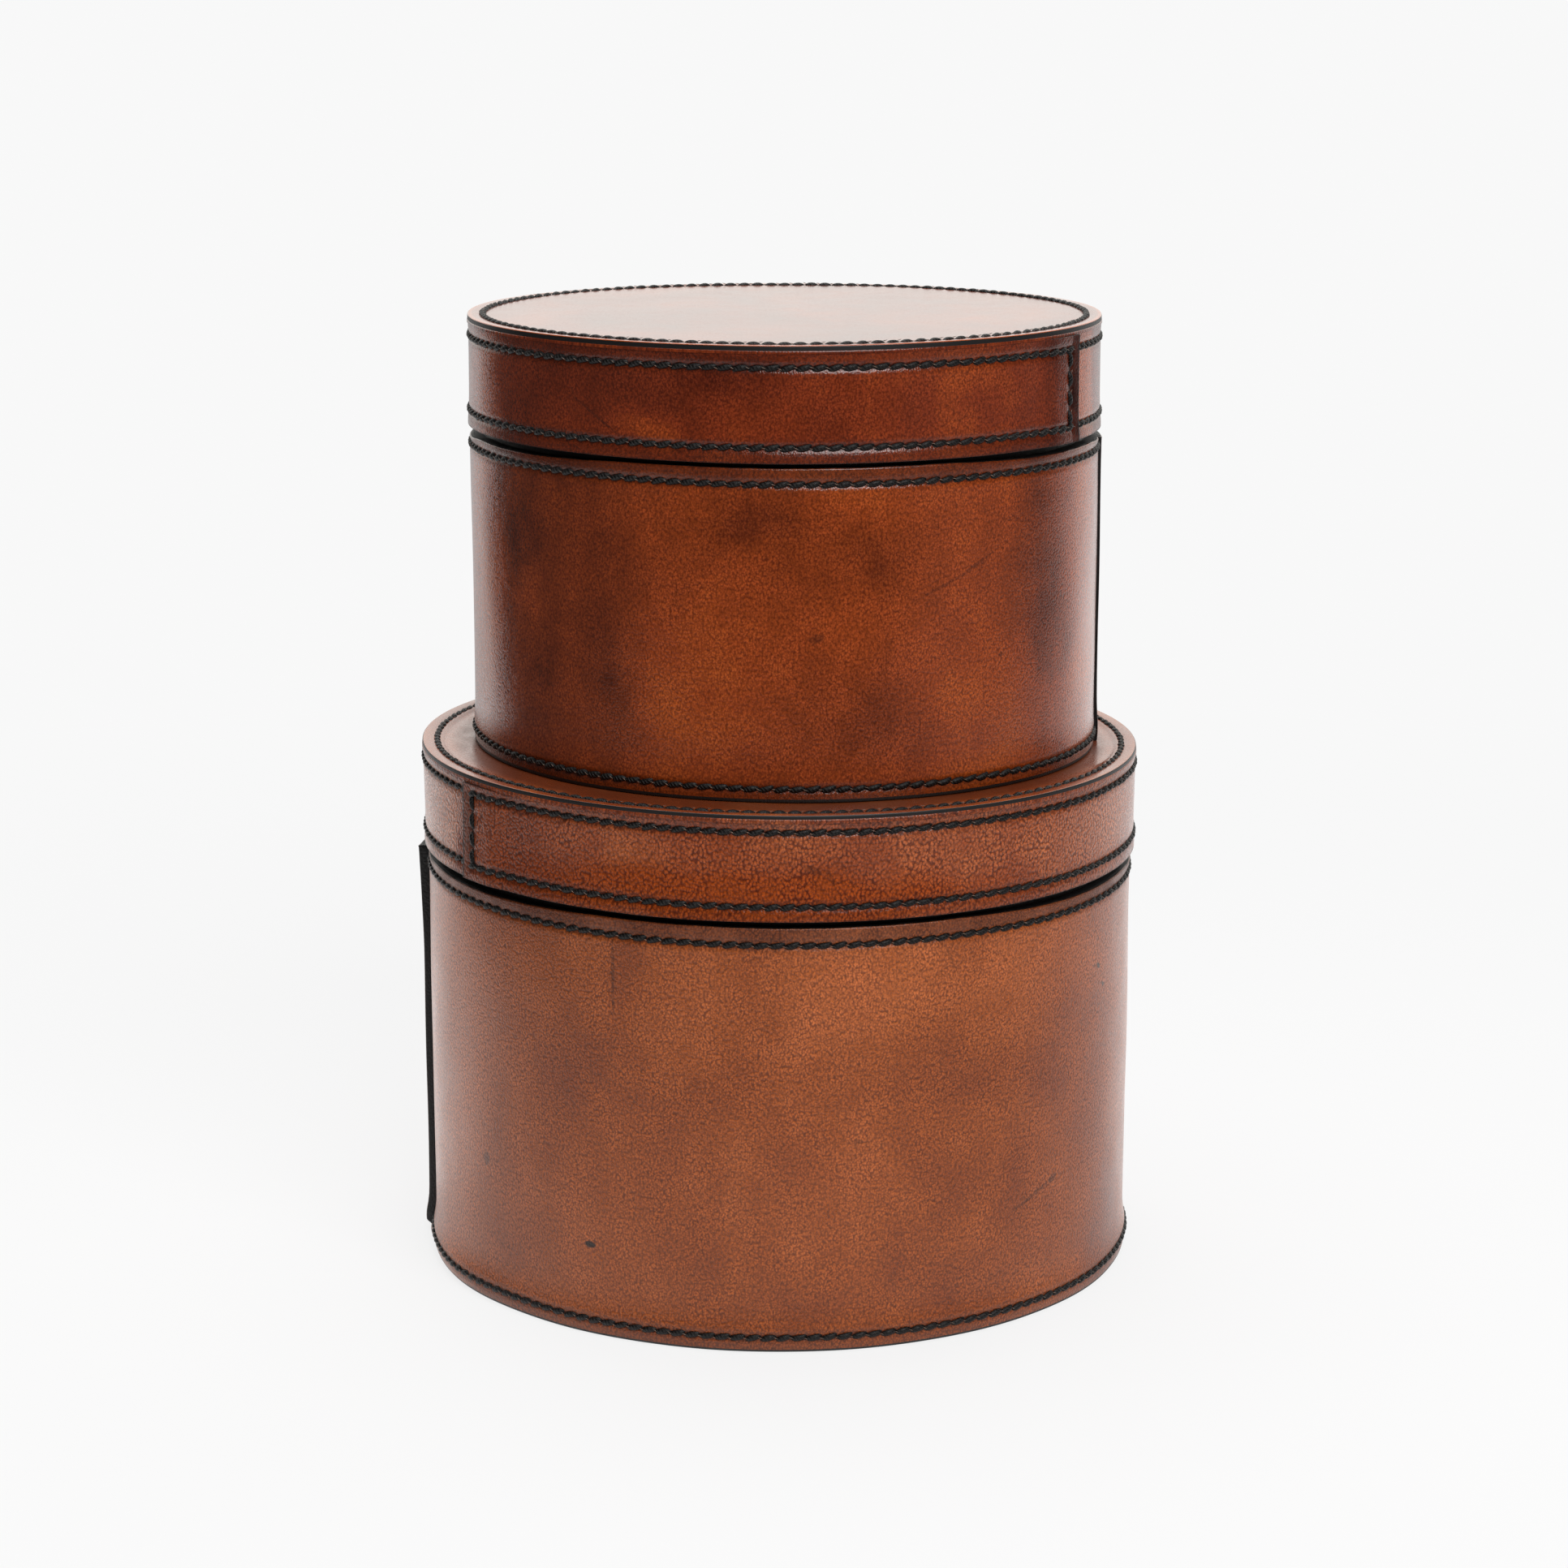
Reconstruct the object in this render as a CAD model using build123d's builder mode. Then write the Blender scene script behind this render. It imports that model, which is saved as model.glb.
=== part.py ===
from build123d import *
import math
import os
from dataclasses import dataclass

# Two round collar boxes of a nesting pair, in thick saddle leather. The large box stands on the floor
# and the small one stands on its lid. The wall of each box is one strip of leather, closed in a lapped
# seam round an inset base. Inside it stands a lined collar, taller than the rim. The lid, a second lapped
# strip under a leather disc, slides down over the collar and stops on the collar's top edge, so that
# a narrow reveal stays between lid and rim.
#
# Millimetres, +Z up, the front is at -Y. The origin is the centre of the large box's underside.
# Angles are seen from above and counted from the front, positive towards +X.

# Large box
large_lid_radius = 90.0
large_body_inset = 0.7  # how much smaller the body is than the lid, on the radius
large_body_height = 104.0
large_lid_height = 25.6
large_lid_reveal = 2.0  # open height between the rim and the lid's lower edge
large_wall_lap_rise = 1.7
large_wall_lap_angle = -86.0
large_lid_lap_angle = -57.3

# Small box
nesting_room = 5.05  # round the small box's lid when the box is kept inside the large one
small_body_inset = 0.1
small_body_height = 77.8
small_lid_height = 27.3
small_lid_reveal = 1.4
small_wall_lap_rise = 1.1
small_wall_lap_angle = 86.0
small_lid_lap_angle = 62.5
small_shift_x = 1.3  # where the small box was set down, off the large box's centre
small_shift_y = 4.5

# Hides, boards and linings, alike on both boxes
disc_leather = 2.0
band_leather = 3.2  # the lid's strip, unlined where it slides on the collar
collar_leather = 2.0
lining = 0.8
ceiling_lining = 0.6
base_board_height = 2.0
lid_board_height = 1.5
top_edge_bevel = 0.6  # worn upper edge of the lid's disc
collar_clearance = 0.35  # between lid and collar, on the radius
seat_clearance = 0.1  # lid's ceiling to the top of the collar

# Lapped seams
lid_lap_rise = 0.9
wall_lap_start = 4.2  # height at which the step begins, above the lower sewn row
lap_length = 10.0
lap_ramp = 9.0  # where the upper layer comes down to the wall again
lap_edge_softening = 0.4

FULL_TURN = 360.0
FRONT = -90.0  # polar angle of the front
FROM_THE_LEFT = -1
FROM_THE_RIGHT = 1


@dataclass
class Lap:
    """A lapped seam: where its free edge lies, the side that the upper layer comes from, and its step."""

    angle: float
    side: int
    rise: float


@dataclass
class Box:
    """One box, with its floor's height over the large box's underside and the place of its axis."""

    name: str
    x: float
    y: float
    floor: float
    lid_radius: float
    body_inset: float
    body_height: float
    lid_height: float
    lid_reveal: float
    wall_lap: Lap
    lid_lap: Lap

    def __post_init__(self):
        # Radii, from the lid's face inwards
        self.body_radius = self.lid_radius - self.body_inset
        self.lid_bore = self.lid_radius - band_leather
        self.collar_radius = self.lid_bore - collar_clearance
        self.collar_bore = self.collar_radius - collar_leather
        self.bore = self.collar_bore - lining

        # Heights of the body, upwards
        self.board_floor = self.floor + disc_leather
        self.collar_floor = self.board_floor + base_board_height
        self.inner_floor = self.collar_floor + lining
        self.rim = self.floor + self.body_height

        # Heights of the lid, from its lower edge and down from its top
        self.lid_mouth = self.rim + self.lid_reveal
        self.lid_top = self.lid_mouth + self.lid_height
        self.disc_floor = self.lid_top - disc_leather
        self.lid_board_floor = self.disc_floor - lid_board_height
        self.ceiling = self.lid_board_floor - ceiling_lining
        self.collar_top = self.ceiling - seat_clearance

    def level(self, height):
        """The horizontal plane at this height, centred on the box's axis."""
        return Plane((self.x, self.y, height))


def save(piece, box, name):
    """Label a finished piece with its box's name and its own, and write it to its file."""
    piece.part.label = f"{box.name}_{name}"
    export_step(piece.part, f"parts/{piece.part.label}.step")


def lap_point(lap, radius, length):
    """The point of a circle at this length from the lap's free edge, under the upper layer."""
    turn = math.degrees(length / radius)
    return Vector(radius, 0).rotate(Axis.Z, FRONT + lap.angle + lap.side * turn)


def lapped_outline(box, height, radius, lap):
    """A band's outer outline: a circle that steps out at the lap's free edge and ramps in behind it."""
    crest = radius + lap.rise
    foot = lap_point(lap, radius, 0)
    edge = lap_point(lap, crest, 0)
    ramp_start = lap_point(lap, crest, lap_length)
    ramp_end = lap_point(lap, radius, lap_length + lap_ramp)
    with BuildSketch(box.level(height)) as outline:
        with BuildLine():
            Line(foot, edge)
            ThreePointArc(edge, lap_point(lap, crest, lap_length / 2), ramp_start)
            Line(ramp_start, ramp_end)
            ThreePointArc(ramp_end, lap_point(lap, radius, math.pi * radius), foot)
        make_face()
        edge_in_place = box.level(height).from_local_coords(edge)
        fillet(outline.vertices().sort_by_distance(edge_in_place)[0], lap_edge_softening)
    return outline.sketch


def tube(box, outer, inner, low, high):
    """A plain ring between two radii and two heights."""
    with BuildPart() as ring:
        with BuildSketch(box.level(low)):
            Circle(outer)
            Circle(inner, mode=Mode.SUBTRACT)
        extrude(amount=high - low)
    return ring


def disc(box, radius, low, high):
    """A plain disc between two heights."""
    with BuildPart() as plate:
        with BuildSketch(box.level(low)):
            Circle(radius)
        extrude(amount=high - low)
    return plate


def make_base(box):
    """Leather disc inset in the wall, flush with its lower edge, with a stiff board and its lining."""
    leather = disc(box, box.collar_radius, box.floor, box.board_floor)
    save(leather, box, "base_leather")
    board = disc(box, box.collar_radius, box.board_floor, box.collar_floor)
    save(board, box, "base_board")
    suede = disc(box, box.collar_bore, box.collar_floor, box.inner_floor)
    save(suede, box, "base_lining")


def make_wall(box):
    """Outer strip of the body. Its lap is sewn flat into the lower row and steps out above it."""
    lap_floor = box.floor + wall_lap_start
    with BuildPart() as wall:
        with BuildSketch(box.level(box.floor)):
            Circle(box.body_radius)
        extrude(amount=box.body_height)
        add(lapped_outline(box, lap_floor, box.body_radius, box.wall_lap))
        extrude(amount=box.rim - lap_floor)
        with BuildSketch(box.level(box.floor)):
            Circle(box.collar_radius)
        extrude(amount=box.body_height, mode=Mode.SUBTRACT)
    save(wall, box, "wall_leather")


def make_collar(box):
    """Leather sleeve from the base board up into the lid, and the suede that lines it."""
    collar = tube(box, box.collar_radius, box.collar_bore, box.collar_floor, box.collar_top)
    save(collar, box, "collar_leather")
    suede = tube(box, box.collar_bore, box.bore, box.inner_floor, box.collar_top)
    save(suede, box, "collar_lining")


def make_lid_top(box):
    """Disc that closes the lid from above, with a worn edge, and its board and lining below."""
    with BuildPart() as top:
        with BuildSketch(box.level(box.disc_floor)):
            Circle(box.lid_radius)
        extrude(amount=disc_leather)
        chamfer(top.faces().sort_by(Axis.Z)[-1].edges(), top_edge_bevel)
    save(top, box, "lid_top_leather")
    board = disc(box, box.lid_bore, box.lid_board_floor, box.disc_floor)
    save(board, box, "lid_top_board")
    suede = disc(box, box.lid_bore, box.ceiling, box.lid_board_floor)
    save(suede, box, "lid_top_lining")


def make_lid_band(box):
    """Lapped strip under the lid's disc. It is unlined, so that it slides on the collar."""
    with BuildPart() as band:
        add(lapped_outline(box, box.lid_mouth, box.lid_radius, box.lid_lap))
        extrude(amount=box.disc_floor - box.lid_mouth)
        with BuildSketch(box.level(box.lid_mouth)):
            Circle(box.lid_bore)
        extrude(amount=box.lid_height, mode=Mode.SUBTRACT)
    save(band, box, "lid_band_leather")


large = Box(
    name="large",
    x=0,
    y=0,
    floor=0,
    lid_radius=large_lid_radius,
    body_inset=large_body_inset,
    body_height=large_body_height,
    lid_height=large_lid_height,
    lid_reveal=large_lid_reveal,
    wall_lap=Lap(large_wall_lap_angle, FROM_THE_LEFT, large_wall_lap_rise),
    lid_lap=Lap(large_lid_lap_angle, FROM_THE_RIGHT, lid_lap_rise),
)
small = Box(
    name="small",
    x=small_shift_x,
    y=small_shift_y,
    floor=large.lid_top,
    lid_radius=large.bore - nesting_room,
    body_inset=small_body_inset,
    body_height=small_body_height,
    lid_height=small_lid_height,
    lid_reveal=small_lid_reveal,
    wall_lap=Lap(small_wall_lap_angle, FROM_THE_RIGHT, small_wall_lap_rise),
    lid_lap=Lap(small_lid_lap_angle, FROM_THE_LEFT, lid_lap_rise),
)

os.makedirs("parts", exist_ok=True)
for box in (large, small):
    make_base(box)
    make_wall(box)
    make_collar(box)
    make_lid_top(box)
    make_lid_band(box)
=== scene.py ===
"""Two stacked round leather collar boxes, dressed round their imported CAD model."""

import math
from functools import partial

import bmesh
import bpy
import numpy as np
from bpy.props import FloatProperty, FloatVectorProperty, IntProperty, PointerProperty
from bpy.types import Operator, Panel, PropertyGroup
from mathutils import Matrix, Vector


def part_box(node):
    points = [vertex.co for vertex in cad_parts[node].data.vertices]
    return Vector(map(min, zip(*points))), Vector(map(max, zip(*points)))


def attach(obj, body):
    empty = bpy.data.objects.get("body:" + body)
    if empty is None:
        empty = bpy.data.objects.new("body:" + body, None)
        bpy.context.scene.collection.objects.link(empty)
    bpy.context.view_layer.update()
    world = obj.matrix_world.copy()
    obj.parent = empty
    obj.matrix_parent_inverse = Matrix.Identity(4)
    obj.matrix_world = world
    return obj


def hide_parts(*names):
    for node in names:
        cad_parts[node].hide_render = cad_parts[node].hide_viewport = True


bl_info = {
    "name": "Collar boxes",
    "version": (1, 0, 0),
    "blender": (4, 5, 0),
    "location": "3D View > Sidebar > Collar boxes",
    "description": "A large and a small round leather collar box, sewn by hand and stacked",
    "category": "Object",
}

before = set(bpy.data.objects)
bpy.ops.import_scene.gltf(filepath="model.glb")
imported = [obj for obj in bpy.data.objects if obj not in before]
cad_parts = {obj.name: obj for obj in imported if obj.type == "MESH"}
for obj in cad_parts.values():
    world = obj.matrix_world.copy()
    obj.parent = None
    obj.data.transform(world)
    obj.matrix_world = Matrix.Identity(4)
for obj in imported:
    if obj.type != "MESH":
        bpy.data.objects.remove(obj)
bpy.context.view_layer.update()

MM = 0.001
FRONT = -math.pi / 2
FULL_TURN = 2 * math.pi
LEATHER_COORDS = "leather"  # UV map: the unrolled hide, in metres

# Kinds of nodes, and settings that many of them share. A mix of colours has its factor at input 0, its
# colours at 6 and 7 and its result at output 2
MATH, VECTOR_MATH, RANGE = "ShaderNodeMath", "ShaderNodeVectorMath", "ShaderNodeMapRange"
MIX, NOISE, COORDS = "ShaderNodeMix", "ShaderNodeTexNoise", "ShaderNodeTexCoord"
SHADER, BUMP, GLOW = "ShaderNodeBsdfPrincipled", "ShaderNodeBump", "ShaderNodeEmission"
MIX_SHADER, MATERIAL_OUTPUT = "ShaderNodeMixShader", "ShaderNodeOutputMaterial"
TIMES, TIMES_PLUS = {"operation": "MULTIPLY"}, {"operation": "MULTIPLY_ADD"}
LARGER, LENGTH = {"operation": "MAXIMUM"}, {"operation": "LENGTH"}
SOFTLY = {"interpolation_type": "SMOOTHSTEP"}
COLOURS = {"data_type": "RGBA"}
SHADED = {"data_type": "RGBA", "blend_type": "MULTIPLY"}
FLAT = {"noise_dimensions": "2D"}


# Helpers for the settings


def linear(hex_code):
    """The linear colour of an sRGB hex code."""
    parts = [int(hex_code[i : i + 2], 16) / 255 for i in (1, 3, 5)]
    return tuple(c / 12.92 if c <= 0.04045 else ((c + 0.055) / 1.055) ** 2.4 for c in parts)


def length(name, text, millimetres):
    kind = {"unit": "LENGTH", "subtype": "DISTANCE", "precision": 5}
    return FloatProperty(name=name, description=text, default=millimetres * MM, **kind)


def angle(name, text, degrees):
    kind = {"unit": "ROTATION", "subtype": "ANGLE"}
    return FloatProperty(name=name, description=text, default=math.radians(degrees), **kind)


def share(name, text, value):
    return FloatProperty(name=name, description=text, default=value, min=0, max=1, subtype="FACTOR")


def amount(name, text, value):
    return FloatProperty(name=name, description=text, default=value, min=0)


def whole(name, text, value):
    return IntProperty(name=name, description=text, default=value)


def tint(name, text, hex_code):
    kind = {"size": 3, "min": 0, "max": 1, "subtype": "COLOR"}
    return FloatVectorProperty(name=name, description=text, default=linear(hex_code), **kind)


def column(table, index):
    """The properties of a table's rows, each with the default in this column of its values."""
    return {key: kind(name, text, values[index]) for key, (kind, name, text, *values) in table.items()}


# Settings

# Values for the large and the small box. Laps are counted from the front to the right
BOX_SIZES = {
    "wall_lap_angle": (angle, "Wall lap", "Place of the wall's free edge", -88.5, 86),
    "wall_lap_rise": (length, "Wall lap rise", "Step at the wall's free edge", 2.0, 0.8),
    "wall_lap_side": (whole, "Wall lap side", "Side of its upper layer", -1, 1),
    "lid_lap_angle": (angle, "Lid lap", "Place of the lid band's free edge", -57.3, 62.5),
    "lid_lap_rise": (length, "Lid lap rise", "Step at the lid band's free edge", 0.9, 0.9),
    "lid_lap_side": (whole, "Lid lap side", "Side of its upper layer", 1, -1),
    "row_over_base": (length, "Row over the base", "Height of the wall's lower sewn row", 3.7, 3.3),
    "row_under_rim": (length, "Row under the rim", "Depth of the wall's upper sewn row", 3.8, 3.4),
    "row_over_mouth": (length, "Row over the lid's mouth", "Height of the band's lower sewn row", 3.6, 3.7),
    "row_under_top": (length, "Row under the lid's top", "Depth of the band's upper sewn row", 4.2, 5.2),
    "row_inset": (length, "Row on the disc", "Inset of the disc's sewn row from its edge", 3.8, 3.9),
    "row_sink": (length, "Row's sink", "Depth of the disc's thread below its face", 0.3, 0.22),
    # Edge rub: the disc's upper edge is coloured pale, partly wear and partly a painted highlight on its
    # rounding
    "edge_rub": (share, "Edge rub", "How far the disc's upper edge is rubbed pale", 0.2, 1),
    # Ledge shade: mostly painted shade with some darker dye, a darker ring on the large lid round the small
    # box's foot
    "ledge_shade": (share, "Ledge shade", "Darker dye on the disc, inside its sewn row", 0.6, 0),
    "dish": (length, "Dish", "How much lower the soft disc lies inside its sewn row", 0.8, 0),
    "seat": (length, "Seat", "How far the box stands into a soft lid under it", 0, 0.8),
    "lap_flare": (length, "Lap flare", "How far the wall's free edge leans out at the rim", 1.0, 0),
    "foot_flare": (length, "Foot flare", "How far the wall's foot spreads", 0.85, 0.3),
    "rim_rise": (length, "Rim rise", "How far the soft rim stands up into the reveal", 0.4, 0.4),
    "overhang": (length, "Overhang", "How far the disc reaches over the lid's band", 0.4, 0.25),
    "flap_lift": (length, "Flap lift", "How far the lid band's free edge has lifted", 0.15, 0.4),
    "foot_soak": (share, "Foot soak", "Darker dye under the lower rows", 0.25, 0.45),
    "flap_soak": (share, "Flap soak", "Darker dye on the laps", 0.5, 1),
    "disc_paint": (length, "Painted edge", "Height of the black paint on the disc's edge", 1.0, 1.3),
    # The painted foot is black edge paint, taken higher to paint the contact shade where the box stands
    "foot_paint": (length, "Painted foot", "Height of the black paint on the wall's lower edge", 0.55, 0.8),
}
# Values for the large wall, the small wall, the large lid and the small lid
FINISHES = {
    "dark": (tint, "Dark", "Colour of the dark clouds", "#6A2D12", "#4C1D0C", "#5A2110", "#47180A"),
    "middle": (tint, "Middle", "Colour of most of the hide", "#93491A", "#853914", "#87401F", "#712C12"),
    "light": (tint, "Light", "Colour of the light clouds", "#B1602F", "#A54F18", "#AB6035", "#994517"),
    "clouds": (share, "Clouds", "How much the clouds of dye differ", 0.7, 0.6, 0.6, 0.7),
    "grain": (share, "Grain", "How dark the dye is in the grain", 0.6, 0.5, 0.8, 0.5),
    "relief": (share, "Relief", "Depth of the grain in millimetres", 0.034, 0.02, 0.046, 0.02),
    "pebble": (length, "Pebble", "Width of one pebble of the grain", 0.58, 0.56, 0.75, 0.58),
    "roughness": (share, "Roughness", "How dull the polish is", 0.29, 0.14, 0.25, 0.15),
}


class LargeBoxSizes(PropertyGroup):
    __annotations__ = column(BOX_SIZES, 0)


class SmallBoxSizes(PropertyGroup):
    __annotations__ = column(BOX_SIZES, 1)


class LargeWallFinish(PropertyGroup):
    __annotations__ = column(FINISHES, 0)


class SmallWallFinish(PropertyGroup):
    __annotations__ = column(FINISHES, 1)


class LargeLidFinish(PropertyGroup):
    __annotations__ = column(FINISHES, 2)


class SmallLidFinish(PropertyGroup):
    __annotations__ = column(FINISHES, 3)


class LeatherSizes(PropertyGroup):
    edge_round: length("Edge round", "Radius of the walls' rubbed rims", 0.5)
    thin_round: length("Thin edge round", "Radius of the lids' edges", 0.35)
    row_depth: length("Row depth", "How deep the thread pulls the leather in", 0.38)
    row_width: length("Row width", "Half width of the furrow under a row", 1.0)
    sunk: length("Sunk seam", "How much deeper the walls' upright row lies", 0.55)
    seam_inset: length("Seam inset", "Distance of the upright row from the lap's free edge", 4.3)
    lap_length: length("Lap length", "Width of the lap's upper layer before it thins", 10)
    lap_ramp: length("Lap ramp", "Width over which the upper layer comes down", 9)
    unevenness: length("Unevenness", "How far the hide waves in and out", 0.1)


class ThreadSizes(PropertyGroup):
    pitch: length("Pitch", "Distance from one stitch to the next", 3.65)
    stitch: length("Stitch", "Length of one stitch with its ends in the holes", 4.1)
    thickness: length("Thickness", "Thickness of the twisted thread", 1.55)
    sink: length("Sink", "How far the thread's middle lies under the leather's face", 0.2)
    slant: angle("Slant", "How far each stitch rises out of its row", 13)
    scatter: share("Scatter", "How much the stitches differ", 0.5)
    seed: whole("Seed", "Seed of the stitches' differences", 7)


class OtherColours(PropertyGroup):
    edge_paint: tint("Edge paint", "Black paint on the leather's cut edges", "#100D0C")
    sleeve: tint("Sleeve", "Dark leather of the collars", "#24150F")
    suede: tint("Suede", "Suede linings", "#A37F5C")
    board: tint("Board", "Grey board inside base and lid", "#A29A8B")
    thread: tint("Thread", "Black waxed thread", "#12100F")
    # The glint flecks are painted highlights: pale slivers where each hole's edge would catch the light
    burr: tint("Burrs", "Pale flecks of wax at the thread's holes", "#8F7A6C")
    warm: tint("Warm dye", "Orange brown dye on the large lid's band", "#85390F")


class StageSettings(PropertyGroup):
    paper: amount("Paper", "How white floor and background are", 0.94)
    key_power: amount("Key lamp", "Power of the soft lamp at the front right, in watts", 20)
    top_power: amount("Top lamp", "Power of the soft lamp overhead, in watts", 14)
    room: share("Room", "Brightness of the room in front", 0.05)
    backdrop: amount("Backdrop", "Brightness of the backdrop in the polish", 1.13)


class CollarBoxSettings(PropertyGroup):
    large: PointerProperty(type=LargeBoxSizes)
    small: PointerProperty(type=SmallBoxSizes)
    leather: PointerProperty(type=LeatherSizes)
    thread: PointerProperty(type=ThreadSizes)
    large_wall: PointerProperty(type=LargeWallFinish)
    small_wall: PointerProperty(type=SmallWallFinish)
    large_lid: PointerProperty(type=LargeLidFinish)
    small_lid: PointerProperty(type=SmallLidFinish)
    colours: PointerProperty(type=OtherColours)
    stage: PointerProperty(type=StageSettings)


# Where things are

WAVE_SEEDS = {"wall": 11, "band": 21, "disc": 31}  # for the large box, the small box has the next one
DYE_SEEDS = {"wall": 3, "lid": 7}


class Box:
    """One box's places, read from the frame."""

    def __init__(self, number, name, settings):
        self.number, self.name = number, name
        self.sizes, self.leather = getattr(settings, name), settings.leather
        low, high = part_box(f"{name}_base_leather")
        self.centre = ((low.x + high.x) / 2, (low.y + high.y) / 2)
        self.base = (low.z - self.sizes.seat, high.z, (high.y - low.y) / 2)
        self.floor, self.rim, self.wall_radius = self.span("wall_leather")
        self.floor -= self.sizes.seat
        self.mouth, self.disc_floor, self.lid_radius = self.span("lid_band_leather")
        self.collar_floor, self.collar_top, self.collar_radius = self.span("collar_leather")
        self.top = self.span("lid_top_leather")[1]
        self.lid_bore = self.span("lid_top_board")[2]
        self.collar_bore = self.span("collar_lining")[2]

    def span(self, node):
        """Lowest and highest point of a node of this box, and its radius."""
        low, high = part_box(f"{self.name}_{node}")
        return low.z, high.z, (high.y - low.y) / 2


def boxes():
    settings = bpy.context.scene.collar_boxes
    return [Box(number, name, settings) for number, name in enumerate(("large", "small"))]


def smooth(value, start, end):
    """0 before start, 1 after end, and a soft step between them."""
    t = np.clip((value - start) / (end - start), 0, 1)
    return t * t * (3 - 2 * t)


def bell(distance, width):
    """1 at no distance, falling softly to nearly 0 at two widths."""
    return np.exp(-((distance / width) ** 2))


def around(centre, radius, turn):
    """The X and Y of points at these radii and polar angles round a centre."""
    return centre[0] + radius * np.cos(turn), centre[1] + radius * np.sin(turn)


def waves(along, across, seed, shortest, longest, height):
    """Slow random waves over a surface, seldom more than twice this high."""
    random = np.random.default_rng(seed)
    total = np.zeros(np.broadcast(along, across).shape)
    count = 12
    for _ in range(count):
        turn = random.uniform(0, math.pi)
        size = random.uniform(shortest, longest)
        phase = random.uniform(0, FULL_TURN)
        total += np.sin((along * math.cos(turn) + across * math.sin(turn)) * FULL_TURN / size + phase)
    return total * height / math.sqrt(count)


def lean(x, z):
    """The height of a point on the boxes, which lean a little: the left side stands higher."""
    heights = (0, 0.1316, 0.21, 0.24)
    left = np.interp(z, heights, (0, 0.0095, 0.008, 0.005))
    right = np.interp(z, heights, (0, 0.009, 0.002, -0.003))
    return z - x * np.where(x < 0, left, right)


class Strap:
    """An upright strap of leather that is closed in a lapped seam, with a sewn row along each edge."""

    def __init__(self, box, part):
        sizes, self.leather, self.centre = box.sizes, box.leather, box.centre
        self.part, self.wall, self.seed = part, part == "wall", WAVE_SEEDS[part] + box.number
        self.low_round = self.leather.thin_round
        self.foot_soak, self.flap_soak = sizes.foot_soak, sizes.flap_soak
        keys = ("wall_lap_angle", "wall_lap_rise", "wall_lap_side")
        if not self.wall:
            keys = ("lid_lap_angle", "lid_lap_rise", "lid_lap_side")
        self.lap_angle, self.rise, self.side = (getattr(sizes, key) for key in keys)
        # foot is how far the lower edge spreads, most at foot_height
        if self.wall:
            self.low, self.high = box.floor, box.rim + sizes.rim_rise
            self.radius, self.inner = box.wall_radius, box.collar_radius
            self.rows = (self.low + sizes.row_over_base, box.rim - sizes.row_under_rim)
            self.high_round, self.foot_paint = self.leather.edge_round, sizes.foot_paint
            self.sunk, self.flare, self.lift = self.leather.sunk, sizes.lap_flare, 0
            self.foot, self.foot_height = sizes.foot_flare, 3.5 * MM
        else:
            self.low, self.high = box.mouth, box.disc_floor
            self.radius, self.inner = box.lid_radius, box.lid_bore
            self.rows = (self.low + sizes.row_over_mouth, box.top - sizes.row_under_top)
            self.high_round, self.foot_paint = 0.06 * MM, 0.05 * MM
            self.sunk, self.flare, self.lift = -0.1 * MM, 0, sizes.flap_lift
            self.foot, self.foot_height = 0.35 * MM, 0
        self.girth = FULL_TURN * self.radius

    def turn(self, along):
        """Polar angle at this length from the lap's free edge, under the upper layer."""
        return FRONT + self.lap_angle + self.side * along / self.radius

    def lap(self, along, height):
        """How far the upper layer stands out. A wall's is pressed at the foot, over the layer under it."""
        size = self.leather
        soft = 0.45 * MM  # rounding of the free edge
        rounding = soft - np.sqrt(np.maximum(soft**2 - (soft - np.clip(along, 0, soft)) ** 2, 0))
        ramp = 1 - smooth(along, size.lap_length, size.lap_length + size.lap_ramp)
        near_rim = np.clip(1 - (self.high - height) / (30 * MM), 0, 1) ** 1.5
        flare = self.flare * near_rim * np.exp(-along / (4 * MM)) * (along < size.lap_length)
        lifted = self.lift * np.clip((size.seam_inset - MM - along) / (3 * MM), 0, 1)
        pressed = 0.6 * (1 - smooth(height, 0.8 * MM, 2.6 * MM)) * self.wall
        offset = np.maximum(self.rise * (1 - pressed) * ramp - rounding, 0) + flare + lifted
        return offset + self.rise * pressed * bell(self.girth - along, 8 * MM)

    def face(self, along, height):
        """Radius of the outer face, with the furrows that the thread pulls in."""
        size, (low_row, high_row) = self.leather, self.rows
        offset = self.lap(along, height)
        sewn = smooth(along, size.seam_inset - 1.6 * MM, size.seam_inset - 0.6 * MM)
        for row in self.rows:
            gap = np.abs(height - row)
            offset = offset - size.row_depth * bell(gap, size.row_width) * sewn
            offset = offset + 0.02 * MM * bell(gap - 2 * MM, 1.1 * MM)  # leather pushed up beside the row
        upright = bell(along - size.seam_inset, size.row_width) * smooth(height, low_row, low_row + 1.5 * MM)
        upright = upright * (1 - smooth(height, high_row - 1.5 * MM, high_row))
        offset = offset - (size.row_depth + self.sunk) * upright
        spread = self.foot * bell(height - self.low - self.foot_height, 4 * MM)
        bulge = bell(self.girth - along - 38 * MM, 20 * MM) * self.wall  # beside the lap
        offset = offset + spread * (1 + bulge)
        offset = offset + 0.12 * MM * np.exp(-(self.high - height) / (2 * MM))
        return self.radius + offset + waves(along, height, self.seed, 28 * MM, 80 * MM, size.unevenness)

    def columns(self):
        """Lengths from the lap's free edge round to it again, closer together at the lap."""
        edge = [0, 0.03, 0.08, 0.15, 0.24, 0.35, 0.5, 0.75, 1.1, 1.6, 2.2, 2.8, 3.2]
        lap = [3.2 + 0.22 * i for i in range(1, 11)] + [5.8 + 0.9 * i for i in range(16)]
        start = np.array(edge + lap) * MM
        end = self.girth - np.array([3, 2.2, 1.5, 0.9, 0.5, 0.2, 0]) * MM
        return np.concatenate([start, np.linspace(start[-1], end[0], 340)[1:-1], end])

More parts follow.
